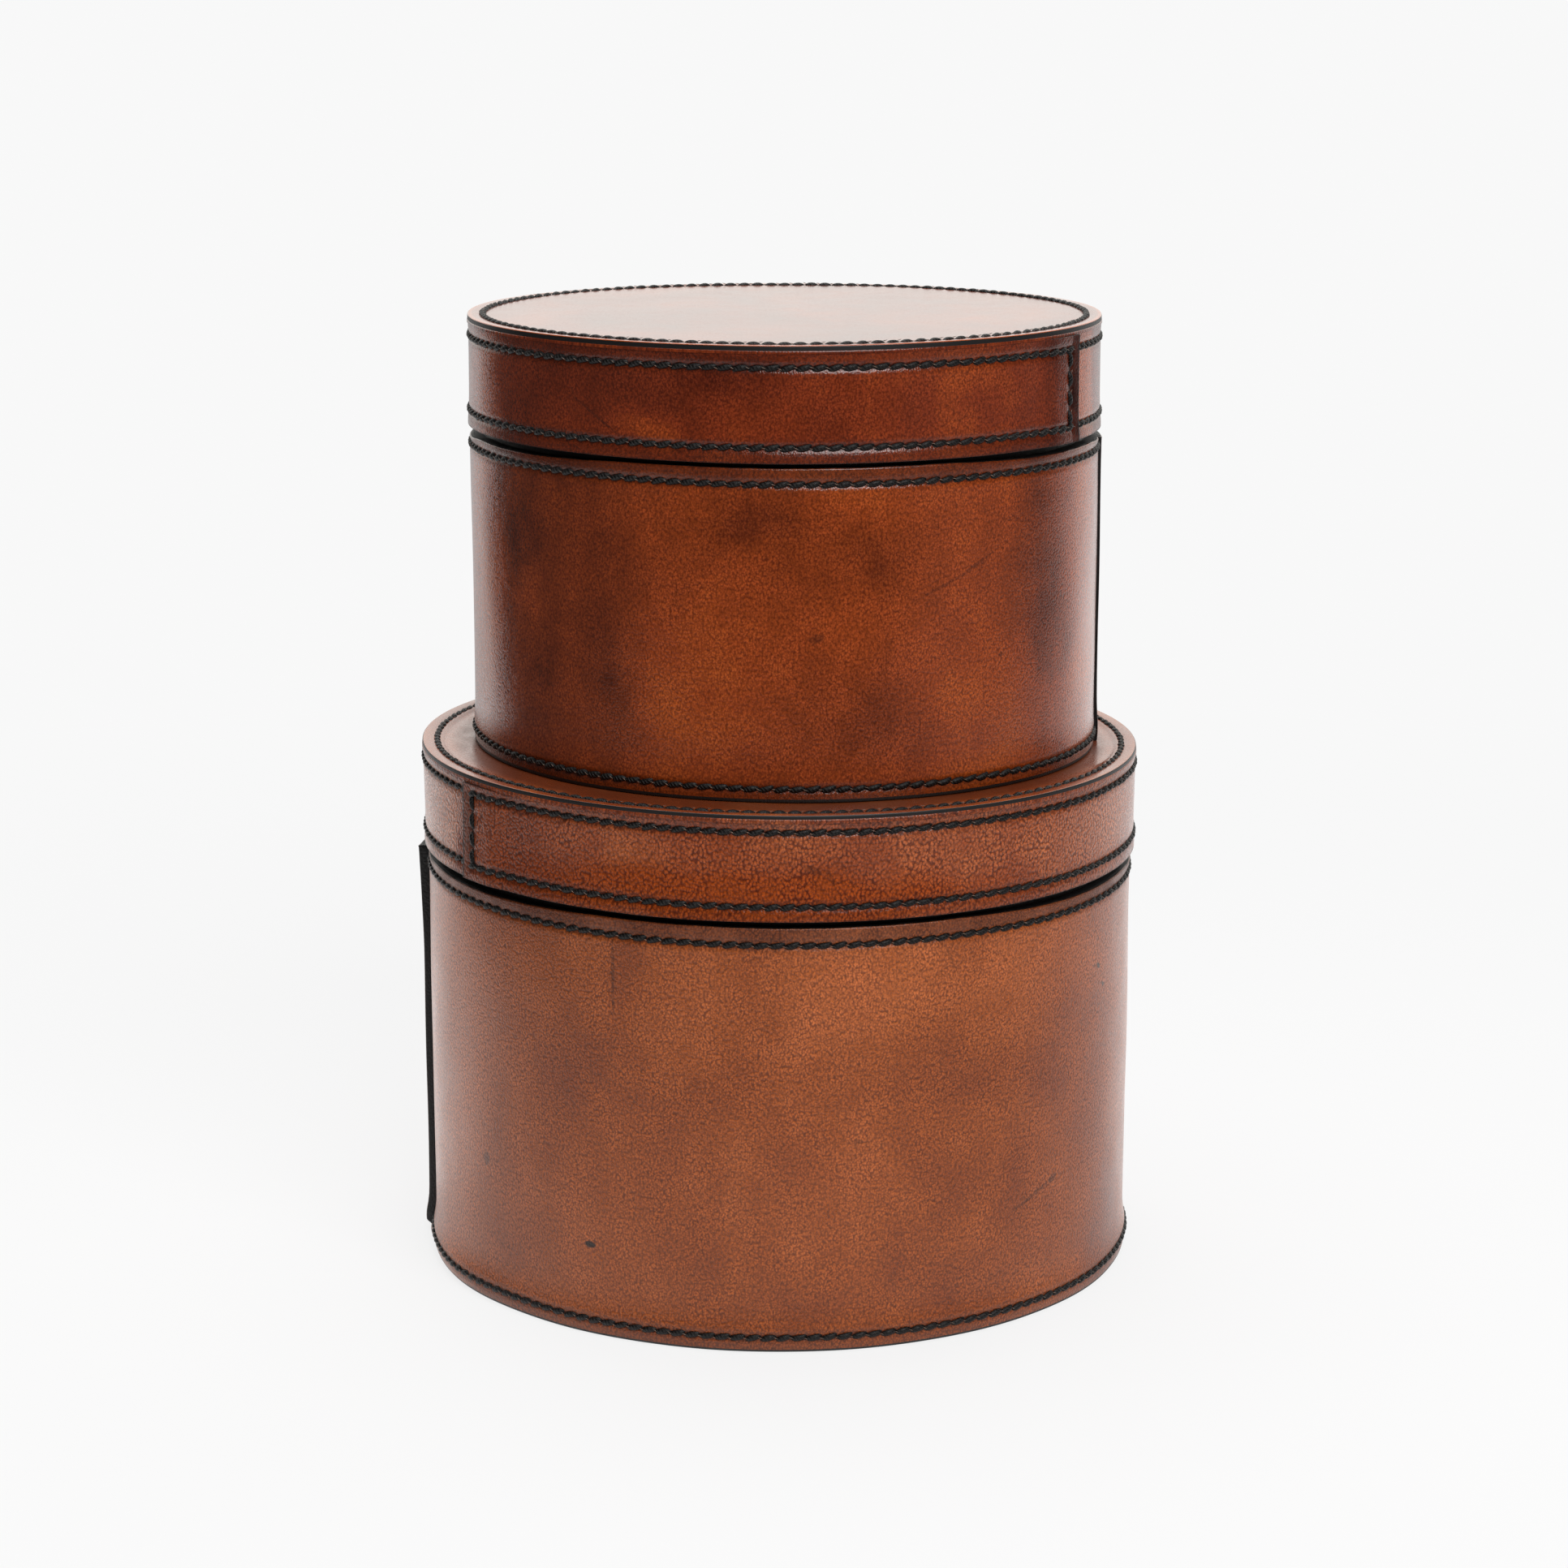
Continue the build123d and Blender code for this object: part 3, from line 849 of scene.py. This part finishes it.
class COLLARBOXES_OT_bases(Operator):
    """Make the inset leather bases"""

    bl_idname = "collar_boxes.bases"
    bl_label = "Bases"

    def execute(self, context):
        plain, painted = (0, 0, 0, 0, 0.8), (1, 0, 0, 0, 0.8)
        bevel, even = 0.35 * MM, {"sides": 192, "seed": 0, "unevenness": 0}
        for box in boxes():
            low, high, radius = box.base
            section = [(radius * t, low, *plain) for t in (0.1, 0.3, 0.5, 0.7, 0.85, 0.95, 0.98)]
            edge = ((radius - bevel, low), (radius, low + bevel), (radius, high))
            section += [(*point, *painted) for point in edge]
            section += [(radius * t, high, *plain) for t in (0.98, 0.8, 0.5, 0.2)]
            material = bpy.data.materials[leather_name(box, "wall")]
            base = disc_piece(f"{box.name}_base_disc", box.centre, section, material, **even)
            finish_piece(base, f"{box.name}_body", "saddle_leather", f"{box.name}_base_leather")
        return {"FINISHED"}


class COLLARBOXES_OT_lid_bands(Operator):
    """Make the lids' leather bands, each closed in a lapped seam"""

    bl_idname = "collar_boxes.lid_bands"
    bl_label = "Lid bands"

    def execute(self, context):
        for box in boxes():
            band = dressed_strap(box, Strap(box, "band"), "lid", f"{box.name}_lid_band")
            finish_piece(band, f"{box.name}_lid", "lid_leather", f"{box.name}_lid_band_leather")
        return {"FINISHED"}


DISC_GRAIN = 0.12  # the discs' upper faces are smoother than the straps


def disc_edge(box):
    """From below up to the rounded upper edge: brown, a small step, and the painted part above it."""
    low, high, radius = box.disc_floor, box.top, box.lid_radius + box.sizes.overhang
    rub, curve, step = box.sizes.edge_rub, box.leather.thin_round, 0.12 * MM
    bare = high - low - box.sizes.disc_paint
    section = [(radius * t, low, 0, 0, 0, 0, 1) for t in (0.2, 0.5, 0.8, 0.95)]
    shoulder = ((radius, 0.02 * MM), (radius, bare - 0.3 * MM), (radius - 0.02 * MM, bare - 0.1 * MM),
                (radius - step, bare))
    # the brown part under the paint is darkened a little: painted shade at the joint with the band
    section += [(reach, low + height, 0, 0, 0.25, 0, 1) for reach, height in shoulder]
    for height in (high - box.sizes.disc_paint + step, high - curve):
        section.append((radius - step, height, 1, 0, 0, 0, DISC_GRAIN))
    # on the rounding the black paint gives way to pale leather, rubbed and with a painted highlight, kept in
    # the dye layer
    for turn in np.linspace(0.15, math.pi / 2, 8):
        reach, height = radius - step - curve + curve * math.cos(turn), high - curve + curve * math.sin(turn)
        worn = 1 - smooth(turn, 0.9 - 0.65 * rub, 1.35 - 0.75 * rub)
        section.append((reach, height, worn, 0, 0, rub, DISC_GRAIN))
    return section


def disc_face(box):
    """From the upper edge inwards, rubbed pale with a painted highlight, with the sewn furrow darkened by
    dye and painted shade, the dish, and a painted shade round where the small box stands.
    """
    sizes, leather = box.sizes, box.leather
    start = leather.thin_round / MM + 0.12
    insets = [start + 0.3, start + 0.7, 1.5, 2.0, 2.5] + [3.0 + 0.2 * i for i in range(15)]
    insets += [6.4, 7.2, 8.5, 10, 12, 15, *np.linspace(18, box.lid_radius / MM - 3, 16)]
    section = []
    for inset in insets:
        gap = inset * MM - sizes.row_inset
        dip = leather.row_depth * 0.8 * bell(gap, leather.row_width)
        dish = sizes.dish * smooth(gap, 0.6 * MM, 2.6 * MM)
        # the dark furrow of the disc's row: dye with painted shade
        row = (0.5 - 0.4 * sizes.edge_rub) * bell(gap, 0.65 * MM)
        # painted shade: a darker ring round where the small box stands, with some darker dye; it goes into
        # the soak layer
        shade = sizes.ledge_shade * (smooth(inset, 6.5, 10) - smooth(inset, 13, 24))
        soak = 0.3 * bell(gap, 1.3 * MM) + shade
        # a pale ring inside the edge: rubbed wear with a painted highlight
        rubbed = sizes.edge_rub * (1 - smooth(inset, start + 0.3, start + 0.9))
        reach = box.lid_radius + sizes.overhang - inset * MM
        section.append((reach, box.top - dip - dish, 0, row, soak, rubbed, DISC_GRAIN))
    return section


class COLLARBOXES_OT_lid_tops(Operator):
    """Make the lids' leather discs, with painted edges and the furrow of their sewn row"""

    bl_idname = "collar_boxes.lid_tops"
    bl_label = "Lid tops"

    def execute(self, context):
        for box in boxes():
            section, name = disc_edge(box) + disc_face(box), f"{box.name}_lid_disc"
            wavy = {"sides": 384, "seed": WAVE_SEEDS["disc"] + box.number, "unevenness": 0.04 * MM}
            top = disc_piece(name, box.centre, section, bpy.data.materials[leather_name(box, "lid")], **wavy)
            finish_piece(top, f"{box.name}_lid", "lid_leather", f"{box.name}_lid_top_leather")
        return {"FINISHED"}


# Collars and linings


def new_tree(name, inputs):
    """A geometry tree with these named inputs: the tree, the helper that adds nodes and the inputs."""
    tree = bpy.data.node_groups.new(name, "GeometryNodeTree")
    tree.interface.new_socket("Geometry", in_out="OUTPUT", socket_type="NodeSocketGeometry")
    for key, kind in inputs.items():
        tree.interface.new_socket(key, in_out="INPUT", socket_type=f"NodeSocket{kind}")
    add = partial(add_node, tree)
    return tree, add, add("NodeGroupInput").node.outputs


def end_tree(add, shape, material):
    """Makes the instances real and gives the shape its material."""
    real = add("GeometryNodeRealizeInstances", {"Geometry": shape}, "Geometry")
    made = add("GeometryNodeSetMaterial", {"Geometry": real, "Material": material})
    add("NodeGroupOutput", {"Geometry": made})


def set_inputs(piece, tree, values):
    """Gives a piece this geometry tree, with its inputs set by their identifiers."""
    modifier = piece.modifiers.new("Shape", "NODES")
    modifier.node_group = tree
    for item in tree.interface.items_tree:
        if item.item_type == "SOCKET" and item.in_out == "INPUT" and item.name in values:
            modifier[item.identifier] = values[item.name]


def sleeve_tree():
    """A sleeve: a rounded upright section, swept round a circle."""
    numbers = ("Radius", "Thickness", "Height", "Edge Round", "Floor", "Centre X", "Centre Y")
    tree, add, given = new_tree("Collar sleeve", {**dict.fromkeys(numbers, "Float"), "Leather": "Material"})
    thick, high = given["Thickness"], given["Height"]
    middle = add(MATH, (thick, -0.5, given["Radius"]), **TIMES_PLUS)
    path = add("GeometryNodeCurvePrimitiveCircle", {"Resolution": 256, "Radius": middle}, "Curve")
    section = add("GeometryNodeCurvePrimitiveQuadrilateral", {"Width": thick, "Height": high}, "Curve")
    corner = {"Curve": section, "Radius": given["Edge Round"]}
    rounded = add("GeometryNodeFilletCurve", corner, "Curve", mode="POLY")
    rounded.node.inputs["Count"].default_value = 5
    swept = add("GeometryNodeCurveToMesh", {"Curve": path, "Profile Curve": rounded}, "Mesh")
    lift = add(MATH, (high, 0.5, given["Floor"]), **TIMES_PLUS)
    place = add("ShaderNodeCombineXYZ", (given["Centre X"], given["Centre Y"], lift))
    moved = add("GeometryNodeTransform", {"Geometry": swept, "Translation": place}, "Geometry")
    end_tree(add, moved, given["Leather"])
    return tree


class COLLARBOXES_OT_collars(Operator):
    """Make the collars, the sleeves inside the walls that hold the lids"""

    bl_idname = "collar_boxes.collars"
    bl_label = "Collars"

    def execute(self, context):
        leather = sleeve_leather("smooth dark calf leather", context.scene.collar_boxes.colours)
        tree = sleeve_tree()
        for box in boxes():
            collar = new_object(f"{box.name}_collar_sleeve", bpy.data.meshes.new("sleeve"))
            set_inputs(collar, tree, {
                "Radius": box.collar_radius,
                "Thickness": box.collar_radius - box.collar_bore,
                "Height": box.collar_top - box.collar_floor,
                "Edge Round": 0.7 * MM,
                "Floor": box.collar_floor,
                "Centre X": box.centre[0],
                "Centre Y": box.centre[1],
                "Leather": leather,
            })
            plain_mesh(collar)
            face_outward(collar.data)
            shade_softly(collar.data)
            finish_piece(collar, f"{box.name}_body", "collar_leather", f"{box.name}_collar_leather")
        return {"FINISHED"}


class COLLARBOXES_OT_linings(Operator):
    """Give the suede linings and the grey boards their finishes"""

    bl_idname = "collar_boxes.linings"
    bl_label = "Linings and boards"

    def execute(self, context):
        colours = context.scene.collar_boxes.colours
        finishes = {
            "_lining": fuzzy_material(
                "tan suede", colours.suede, fibre=0.5 * MM, roughness=0.9, depth=0.1 * MM
            ),
            "_board": fuzzy_material(
                "grey board", colours.board, fibre=1.2 * MM, roughness=0.85, depth=0.03 * MM
            ),
        }
        for name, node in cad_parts.items():
            for ending, material in finishes.items():
                if name.endswith(ending):
                    node.data.materials.clear()
                    node.data.materials.append(material)
        return {"FINISHED"}


# Stitches


def spindle(start, end, width, height, bluntness, sides, stations, droop=0, u_shift=0):
    """A closed tube with narrow ends from one point to another: its corners, faces and unrolled UVs."""
    corners, faces, uvs = [], [], []
    start, end, up = Vector(start), Vector(end), Vector((0, 0, 1))
    side = up.cross(end - start).normalized()
    for i in range(stations):
        t = i / (stations - 1)
        swell = math.sin(math.pi * (0.12 + 0.76 * t)) ** bluntness
        centre = start.lerp(end, t) - up * (droop * abs(2 * t - 1) ** 3)
        for j in range(sides):
            turn = FULL_TURN * j / sides
            out = side * (width / 2 * swell * math.cos(turn)) + up * (height / 2 * swell * math.sin(turn))
            corners.append(centre + out)
    for i in range(stations - 1):
        u, u2 = u_shift + i / (stations - 1), u_shift + (i + 1) / (stations - 1)
        here, there = i * sides, (i + 1) * sides
        for j in range(sides):
            j2, v, v2 = (j + 1) % sides, j / sides, (j + 1) / sides
            faces.append([here + j, there + j, there + j2, here + j2])
            uvs += [(u, v), (u2, v), (u2, v2), (u, v2)]
    faces.append(list(range(sides)))
    faces.append([(stations - 1) * sides + j for j in reversed(range(sides))])
    uvs += [(u_shift, 0)] * sides + [(u_shift + 1, 0)] * sides
    return corners, faces, uvs


def stitch_shape(thread):
    """One stitch along X, thick in the middle, its ends going down into the leather, and a thin pale fleck
    at one of its holes, a painted glint."""
    long, thick = thread.stitch / 2, thread.thickness
    size = {"width": thick, "height": 0.92 * thick, "droop": 0.4 * thick}
    corners, faces, uvs = spindle((-long, 0, 0), (long, 0, 0), **size, bluntness=0.55, sides=8, stations=8)
    fleck, lift = 0.2 * MM, thick * 0.27
    start, end = (long - 0.75 * MM, -0.1 * MM, lift), (long + 0.15 * MM, -0.75 * MM, lift)
    more = spindle(start, end, fleck, fleck, bluntness=1, sides=4, stations=3, u_shift=2)
    faces += [[len(corners) + corner for corner in face] for face in more[1]]
    mesh = bpy.data.meshes.new("stitch")
    mesh.from_pydata(corners + more[0], [], faces)
    set_uvs(mesh, "strand", uvs + more[2])
    mesh.shade_smooth()
    mesh.validate()
    face_outward(mesh)
    return new_object("stitch", mesh)


def stitch_tree():
    """Rows of stitches along the lines of a mesh, each stitch turned to its line and slanted."""
    tree, add, given = new_tree("Sewn rows", {
        "Lines": "Geometry", "Stitch": "Object", "Pitch": "Float", "Slant": "Float", "Scatter": "Float",
        "Seed": "Int", "Thread": "Material",
    })
    vectors, scatter = {"data_type": "FLOAT_VECTOR"}, given["Scatter"]
    line = add("GeometryNodeMeshToCurve", {"Mesh": given["Lines"]}, "Curve")
    steps = {"Curve": line, "Length": given["Pitch"]}
    holes = add("GeometryNodeResampleCurve", steps, "Curve", mode="LENGTH")
    outward = add("GeometryNodeInputNamedAttribute", {"Name": "outward"}, "Attribute", **vectors)
    axes = {"Primary Axis": outward, "Secondary Axis": add("GeometryNodeInputTangent")}
    facing = add("FunctionNodeAxesToRotation", axes, primary_axis="Z", secondary_axis="X")
    spread = {"Min": (-1, -1, -1), "Max": (1, 1, 1), "Seed": given["Seed"]}
    spread = add("FunctionNodeRandomValue", spread, "Value", **vectors)
    random = add("ShaderNodeSeparateXYZ", {"Vector": spread}).node.outputs
    sway = add(MATH, (scatter, 0.14), **TIMES)
    slant = add(MATH, (random["X"], sway, given["Slant"]), **TIMES_PLUS)
    roll = add(MATH, (random["Y"], scatter), **TIMES)
    turn = add("ShaderNodeCombineXYZ", {"X": roll, "Z": slant})
    turned = add("FunctionNodeEulerToRotation", {"Euler": turn})
    turns = {"Rotation": facing, "Rotate By": turned}
    aim = add("FunctionNodeRotateRotation", turns, rotation_space="LOCAL")
    swelling = add(MATH, (scatter, 0.12), **TIMES)
    size = add(MATH, (random["Z"], swelling, 1.0), **TIMES_PLUS)
    wide = add("ShaderNodeCombineXYZ", (1.0, size, size))
    shape = add("GeometryNodeObjectInfo", {"Object": given["Stitch"]}, "Geometry")
    places = {"Points": holes, "Instance": shape, "Rotation": aim, "Scale": wide}
    sewn = add("GeometryNodeInstanceOnPoints", places, "Instances")
    end_tree(add, sewn, given["Thread"])
    return tree


def strap_rows(strap, thread):
    """Both edge rows of a strap, from the lap's upright row round to its free edge, and that row."""
    inset, (low, high) = strap.leather.seam_inset, strap.rows
    round_box = np.linspace(inset, strap.girth - 1.2 * MM, 400)[:: strap.side]
    lines = [(round_box, np.full(400, row)) for row in strap.rows]
    lines.append((np.full(40, inset), np.linspace(low + 2.2 * MM, high - 2.2 * MM, 40)))
    rows = []
    for along, height in lines:
        near = (1 - smooth(along, 7 * MM, 16 * MM)) * strap.wall  # the thread lies deeper on a wall's lap
        radius = strap.face(along, height) + (strap.leather.row_depth - thread.sink) - 0.5 * MM * near
        turn = strap.turn(along)
        x, y = around(strap.centre, radius, turn)
        points = np.stack([x, y, lean(x, height)], -1).tolist()
        rows.append((points, [(math.cos(t), math.sin(t), 0) for t in turn], False))
    return rows


def disc_row(box):
    """The closed row on a lid's disc."""
    radius, count = box.lid_radius + box.sizes.overhang - box.sizes.row_inset, 360
    x, y = around(box.centre, radius, FRONT + np.linspace(0, FULL_TURN, count, endpoint=False))
    z = lean(x, np.full(count, box.top - box.sizes.row_sink))
    return np.stack([x, y, z], -1).tolist(), [(0, 0, 1)] * count, True


def row_mesh(name, rows):
    """The lines that rows of stitches follow, with the way out of the leather at each point."""
    points, outward, edges = [], [], []
    for line, out, closed in rows:
        start, count = len(points), len(line)
        points += line
        outward += out
        edges += [(start + i, start + (i + 1) % count) for i in range(count if closed else count - 1)]
    mesh = bpy.data.meshes.new(name)
    mesh.from_pydata(points, edges, [])
    add_layer(mesh, "outward", outward, "FLOAT_VECTOR", "vector")
    return mesh


class COLLARBOXES_OT_stitches(Operator):
    """Sew the rows on walls, bands and discs"""

    bl_idname = "collar_boxes.stitches"
    bl_label = "Stitches"

    def execute(self, context):
        settings = context.scene.collar_boxes
        thread = settings.thread
        material = thread_material("black waxed linen thread", settings.colours)
        stitch = stitch_shape(thread)
        tree = stitch_tree()
        for box in boxes():
            wall = strap_rows(Strap(box, "wall"), thread)
            lid = [*strap_rows(Strap(box, "band"), thread), disc_row(box)]
            for part, lines in (("body", wall), ("lid", lid)):
                name = f"{box.name}_{part}_stitches"
                rows = new_object(name, row_mesh(name, lines))
                set_inputs(rows, tree, {
                    "Stitch": stitch,
                    "Pitch": thread.pitch,
                    "Slant": thread.slant,
                    "Scatter": thread.scatter,
                    "Seed": thread.seed + box.number,
                    "Thread": material,
                })
                plain_mesh(rows)
                finish_piece(rows, f"{box.name}_{part}", "waxed_thread")
        mesh = stitch.data
        bpy.data.objects.remove(stitch)
        bpy.data.meshes.remove(mesh)
        return {"FINISHED"}


# Stage

# The camera was solved from the photo's ellipses
FOCAL_LENGTH, SENSOR_WIDTH = 85.37, 36
CAMERA_PLACE = (1.2 * MM, -924.2 * MM, 329.1 * MM)
CAMERA_TILT = 12.834  # degrees below the horizon
FLOOR_DROP = 0.2 * MM  # keeps the floor clear of the bases
LAMP_GLINT = 0.4  # share of a lamp's light that shows as a glint in the polish


def paper_brightness(x, y):
    """How bright the floor looks in the polish: white paper under and behind the boxes, a dark room
    beyond its edges. All lengths are in metres."""
    away = np.hypot(x, y)
    # in front: shaded on the right, brighter beside the left lap
    near = smooth(x, -0.52, -0.38) * (1 - smooth(x, 0.60, 0.80)) * smooth(y, -0.62, -0.25)
    near = near * (0.7 + 0.3 * smooth(np.hypot(x + 0.1, y - 0.1), 0.45, 0.1))
    near = near * (1 - 0.18 * smooth(x, 0.08, 0.14) * smooth(y, 0.0, -0.04))
    near = near * (1 + 0.7 * smooth(x, -0.09, -0.107) * smooth(y, 0.0, 0.05) * smooth(away, 0.35, 0.2))
    # behind, left half: bands of light at several distances
    aside = np.abs(x) / np.maximum(y, 0.05)
    left = 1.25 - 0.15 * smooth(away, 0.25, 0.36)
    left = left + 0.8 * smooth(away, 0.38, 0.48) * smooth(aside, 0.4, 0.7)
    left = left + smooth(away, 0.4, 0.25) * smooth(aside, 1.5, 0.7)
    left = left * (1 - 0.75 * smooth(aside, 0.37, 0.22) * smooth(away, 0.46, 0.54))
    far = 0.3 + 0.9 * smooth(aside, 0.38, 0.8) + 0.4 * smooth(away, 0.9, 1.3)
    left = left + (far - left) * smooth(away, 0.54, 0.74)
    # behind, right half
    beside = (x - 0.085) / np.maximum(y + 0.03, 0.01)
    right = 0.88 + 0.95 * smooth(beside, 1.6, 0.15)
    right = right - 0.8 * smooth(beside, 0.65, 0.15) * smooth(away, 0.45, 0.65)
    right = right * (1 - 0.3 * smooth(away, 1.1, 1.6))
    level = left + (right - left) * smooth(x, -0.1, 0.2)
    # the paper behind widens with the distance
    behind = np.maximum(y - 0.12, 0)
    paper = smooth(x, -0.41 - 0.62 * behind, -0.36 - 0.575 * behind)
    paper = paper * (1 - smooth(x, 0.67 + 0.86 * behind, 0.79 + 0.95 * behind))
    back = paper * smooth(y, -0.05, 0.2 - 0.2 * smooth(x, 0, 0.1)) * level
    room = 0.02 + (0.06 + 0.1 * smooth(x, 0, 0.3)) * smooth(np.abs(x) + y * 0.6, 0.1, 0.6)
    return np.maximum(np.maximum(near, back), room)


def floor_piece(settings):
    """A wide floor whose brightness in reflections is kept as an attribute."""
    steps = np.concatenate([[-6, -4, -3], np.linspace(-2.4, 2.4, 121), [3, 4, 6]])
    x, y = np.meshgrid(steps, steps, indexing="ij")
    corners = np.stack([x, y, np.full_like(x, -FLOOR_DROP)], -1).reshape(-1, 3)
    count = len(steps)
    starts = [i * count + j for i in range(count - 1) for j in range(count - 1)]
    mesh = bpy.data.meshes.new("floor")
    mesh.from_pydata(corners.tolist(), [], [[a, a + count, a + count + 1, a + 1] for a in starts])
    add_layer(mesh, "paper", paper_brightness(x, y))
    mesh.materials.append(floor_material(settings))
    new_object("floor", mesh)


def ray_kinds(add):
    """Whether a ray comes straight from the camera, and whether it comes off the polish."""
    rays = add("ShaderNodeLightPath").node.outputs
    direct = add(MATH, (rays["Is Camera Ray"], rays["Is Transmission Ray"]), **LARGER)
    return direct, rays["Is Glossy Ray"]


def floor_material(settings):
    """Plain white paper: the camera sees it white with a faint shadow, the polish sees where it ends."""
    material, add = with_nodes(bpy.data.materials.new("white paper floor"))
    direct, polish = ray_kinds(add)
    plain = add("ShaderNodeBsdfDiffuse", {"Color": (0.8, 0.8, 0.8, 1)})
    away = add(VECTOR_MATH, (add(COORDS, out="Object"),), "Value", **LENGTH)
    lit = add("ShaderNodeBsdfDiffuse", {"Color": (0.12, 0.12, 0.12, 1)})
    glow = add(GLOW, {"Strength": settings.paper - 0.13})
    near = add("ShaderNodeAddShader", (lit, glow))
    far = add(GLOW, {"Strength": settings.paper})
    fade = add(RANGE, (away, 0.25, 0.7, 0.0, 1.0), **SOFTLY)
    seen = add(MIX_SHADER, (fade, near, far))
    # in the polish the floor glows with a painted reflection of the studio: lit paper, bands of light and a
    # dim room
    bright = add("ShaderNodeAttribute", out="Fac", attribute_name="paper")
    mirrored = add(GLOW, {"Strength": bright})
    unseen = add(MIX_SHADER, (polish, plain, mirrored))
    add(MATERIAL_OUTPUT, {"Surface": add(MIX_SHADER, (direct, unseen, seen))})
    return material


def studio_world(settings):
    """White all round for the camera. The polish sees white paper behind and a dim room in front."""
    bpy.context.scene.world, add = with_nodes(bpy.data.worlds.new("studio"))
    direct, polish = ray_kinds(add)
    way = add(COORDS, out="Generated")
    level = add(VECTOR_MATH, (way, (1, 1, 0)), **TIMES)
    level = add(VECTOR_MATH, (level,), operation="NORMALIZE")
    behind = add(VECTOR_MATH, (level, (0.07, 0.998, 0)), "Value", operation="DOT_PRODUCT")
    height = add("ShaderNodeSeparateXYZ", (way,), "Z")
    # the backdrop stands behind, and is brighter above
    backdrop = add(RANGE, (height, 0.11, 0.2, settings.backdrop, 1.4 * settings.backdrop), **SOFTLY)
    wall = add(RANGE, (behind, 0.55, 0.7, settings.room, backdrop), **SOFTLY)
    mirrored = add(MATH, (polish, wall), **TIMES)
    lighting = add(RANGE, (behind, 0.55, 0.7, settings.room, 1.0), **SOFTLY)
    bright = add(MATH, (mirrored, lighting), **LARGER)
    warm = add(MIX, {0: polish, 6: (1, 1, 1, 1), 7: (1, 0.985, 0.94, 1)}, 2, **COLOURS)
    white = add("ShaderNodeBackground", {"Color": (1, 1, 1, 1), "Strength": settings.paper})
    room = add("ShaderNodeBackground", {"Color": warm, "Strength": bright})
    add("ShaderNodeOutputWorld", {"Surface": add(MIX_SHADER, (direct, room, white))})


def soft_lamp(name, place, power, aim, size):
    lamp = bpy.data.lights.new(name, "AREA")
    lamp.shape, lamp.size, lamp.energy, lamp.specular_factor = "SQUARE", size, power, LAMP_GLINT
    piece = new_object(name, lamp)
    piece.location = place
    piece.rotation_euler = (Vector(aim) - Vector(place)).to_track_quat("-Z", "Y").to_euler()


class COLLARBOXES_OT_stage(Operator):
    """Set the floor, the lamps and the camera"""

    bl_idname = "collar_boxes.stage"
    bl_label = "Stage"

    def execute(self, context):
        scene, settings = context.scene, context.scene.collar_boxes.stage
        scene.view_settings.view_transform = "Standard"
        floor_piece(settings)
        studio_world(settings)
        soft_lamp("key lamp", (0.5, -1.1, 1.15), settings.key_power, aim=(0, 0, 0.12), size=0.9)
        soft_lamp("top lamp", (-0.1, 0.1, 1.6), settings.top_power, aim=(0, 0, 0.2), size=1.0)
        lens = bpy.data.cameras.new("camera")
        lens.lens, lens.sensor_width = FOCAL_LENGTH, SENSOR_WIDTH
        camera = new_object("camera", lens)
        camera.location = CAMERA_PLACE
        camera.rotation_euler = (math.radians(90 - CAMERA_TILT), 0, 0)
        scene.camera = camera
        return {"FINISHED"}


class COLLARBOXES_PT_sidebar(Panel):
    """Lists the settings and the pieces"""

    bl_label = "Collar boxes"
    bl_space_type = "VIEW_3D"
    bl_region_type = "UI"
    bl_category = "Collar boxes"

    def draw(self, context):
        settings = context.scene.collar_boxes
        for name in CollarBoxSettings.__annotations__:
            group = getattr(settings, name)
            listed = self.layout.box().column()
            listed.label(text=name.replace("_", " ").capitalize())
            for key in type(group).__annotations__:
                listed.prop(group, key)
        for operator in OPERATORS:
            self.layout.operator(operator.bl_idname)


GROUPS = (
    *(LargeBoxSizes, SmallBoxSizes, LeatherSizes, ThreadSizes, OtherColours, StageSettings),
    *(LargeWallFinish, SmallWallFinish, LargeLidFinish, SmallLidFinish, CollarBoxSettings),
)
OPERATORS = (
    COLLARBOXES_OT_walls,
    COLLARBOXES_OT_bases,
    COLLARBOXES_OT_lid_bands,
    COLLARBOXES_OT_lid_tops,
    COLLARBOXES_OT_collars,
    COLLARBOXES_OT_linings,
    COLLARBOXES_OT_stitches,
    COLLARBOXES_OT_stage,
)
CLASSES = (*GROUPS, *OPERATORS, COLLARBOXES_PT_sidebar)


def register():
    for item in CLASSES:
        bpy.utils.register_class(item)
    bpy.types.Scene.collar_boxes = PointerProperty(type=CollarBoxSettings)


def unregister():
    del bpy.types.Scene.collar_boxes
    for item in reversed(CLASSES):
        bpy.utils.unregister_class(item)


def main():
    register()
    bpy.ops.collar_boxes.walls()
    bpy.ops.collar_boxes.bases()
    bpy.ops.collar_boxes.lid_bands()
    bpy.ops.collar_boxes.lid_tops()
    bpy.ops.collar_boxes.collars()
    bpy.ops.collar_boxes.linings()
    bpy.ops.collar_boxes.stitches()
    bpy.ops.collar_boxes.stage()


if __name__ == "__main__":
    main()
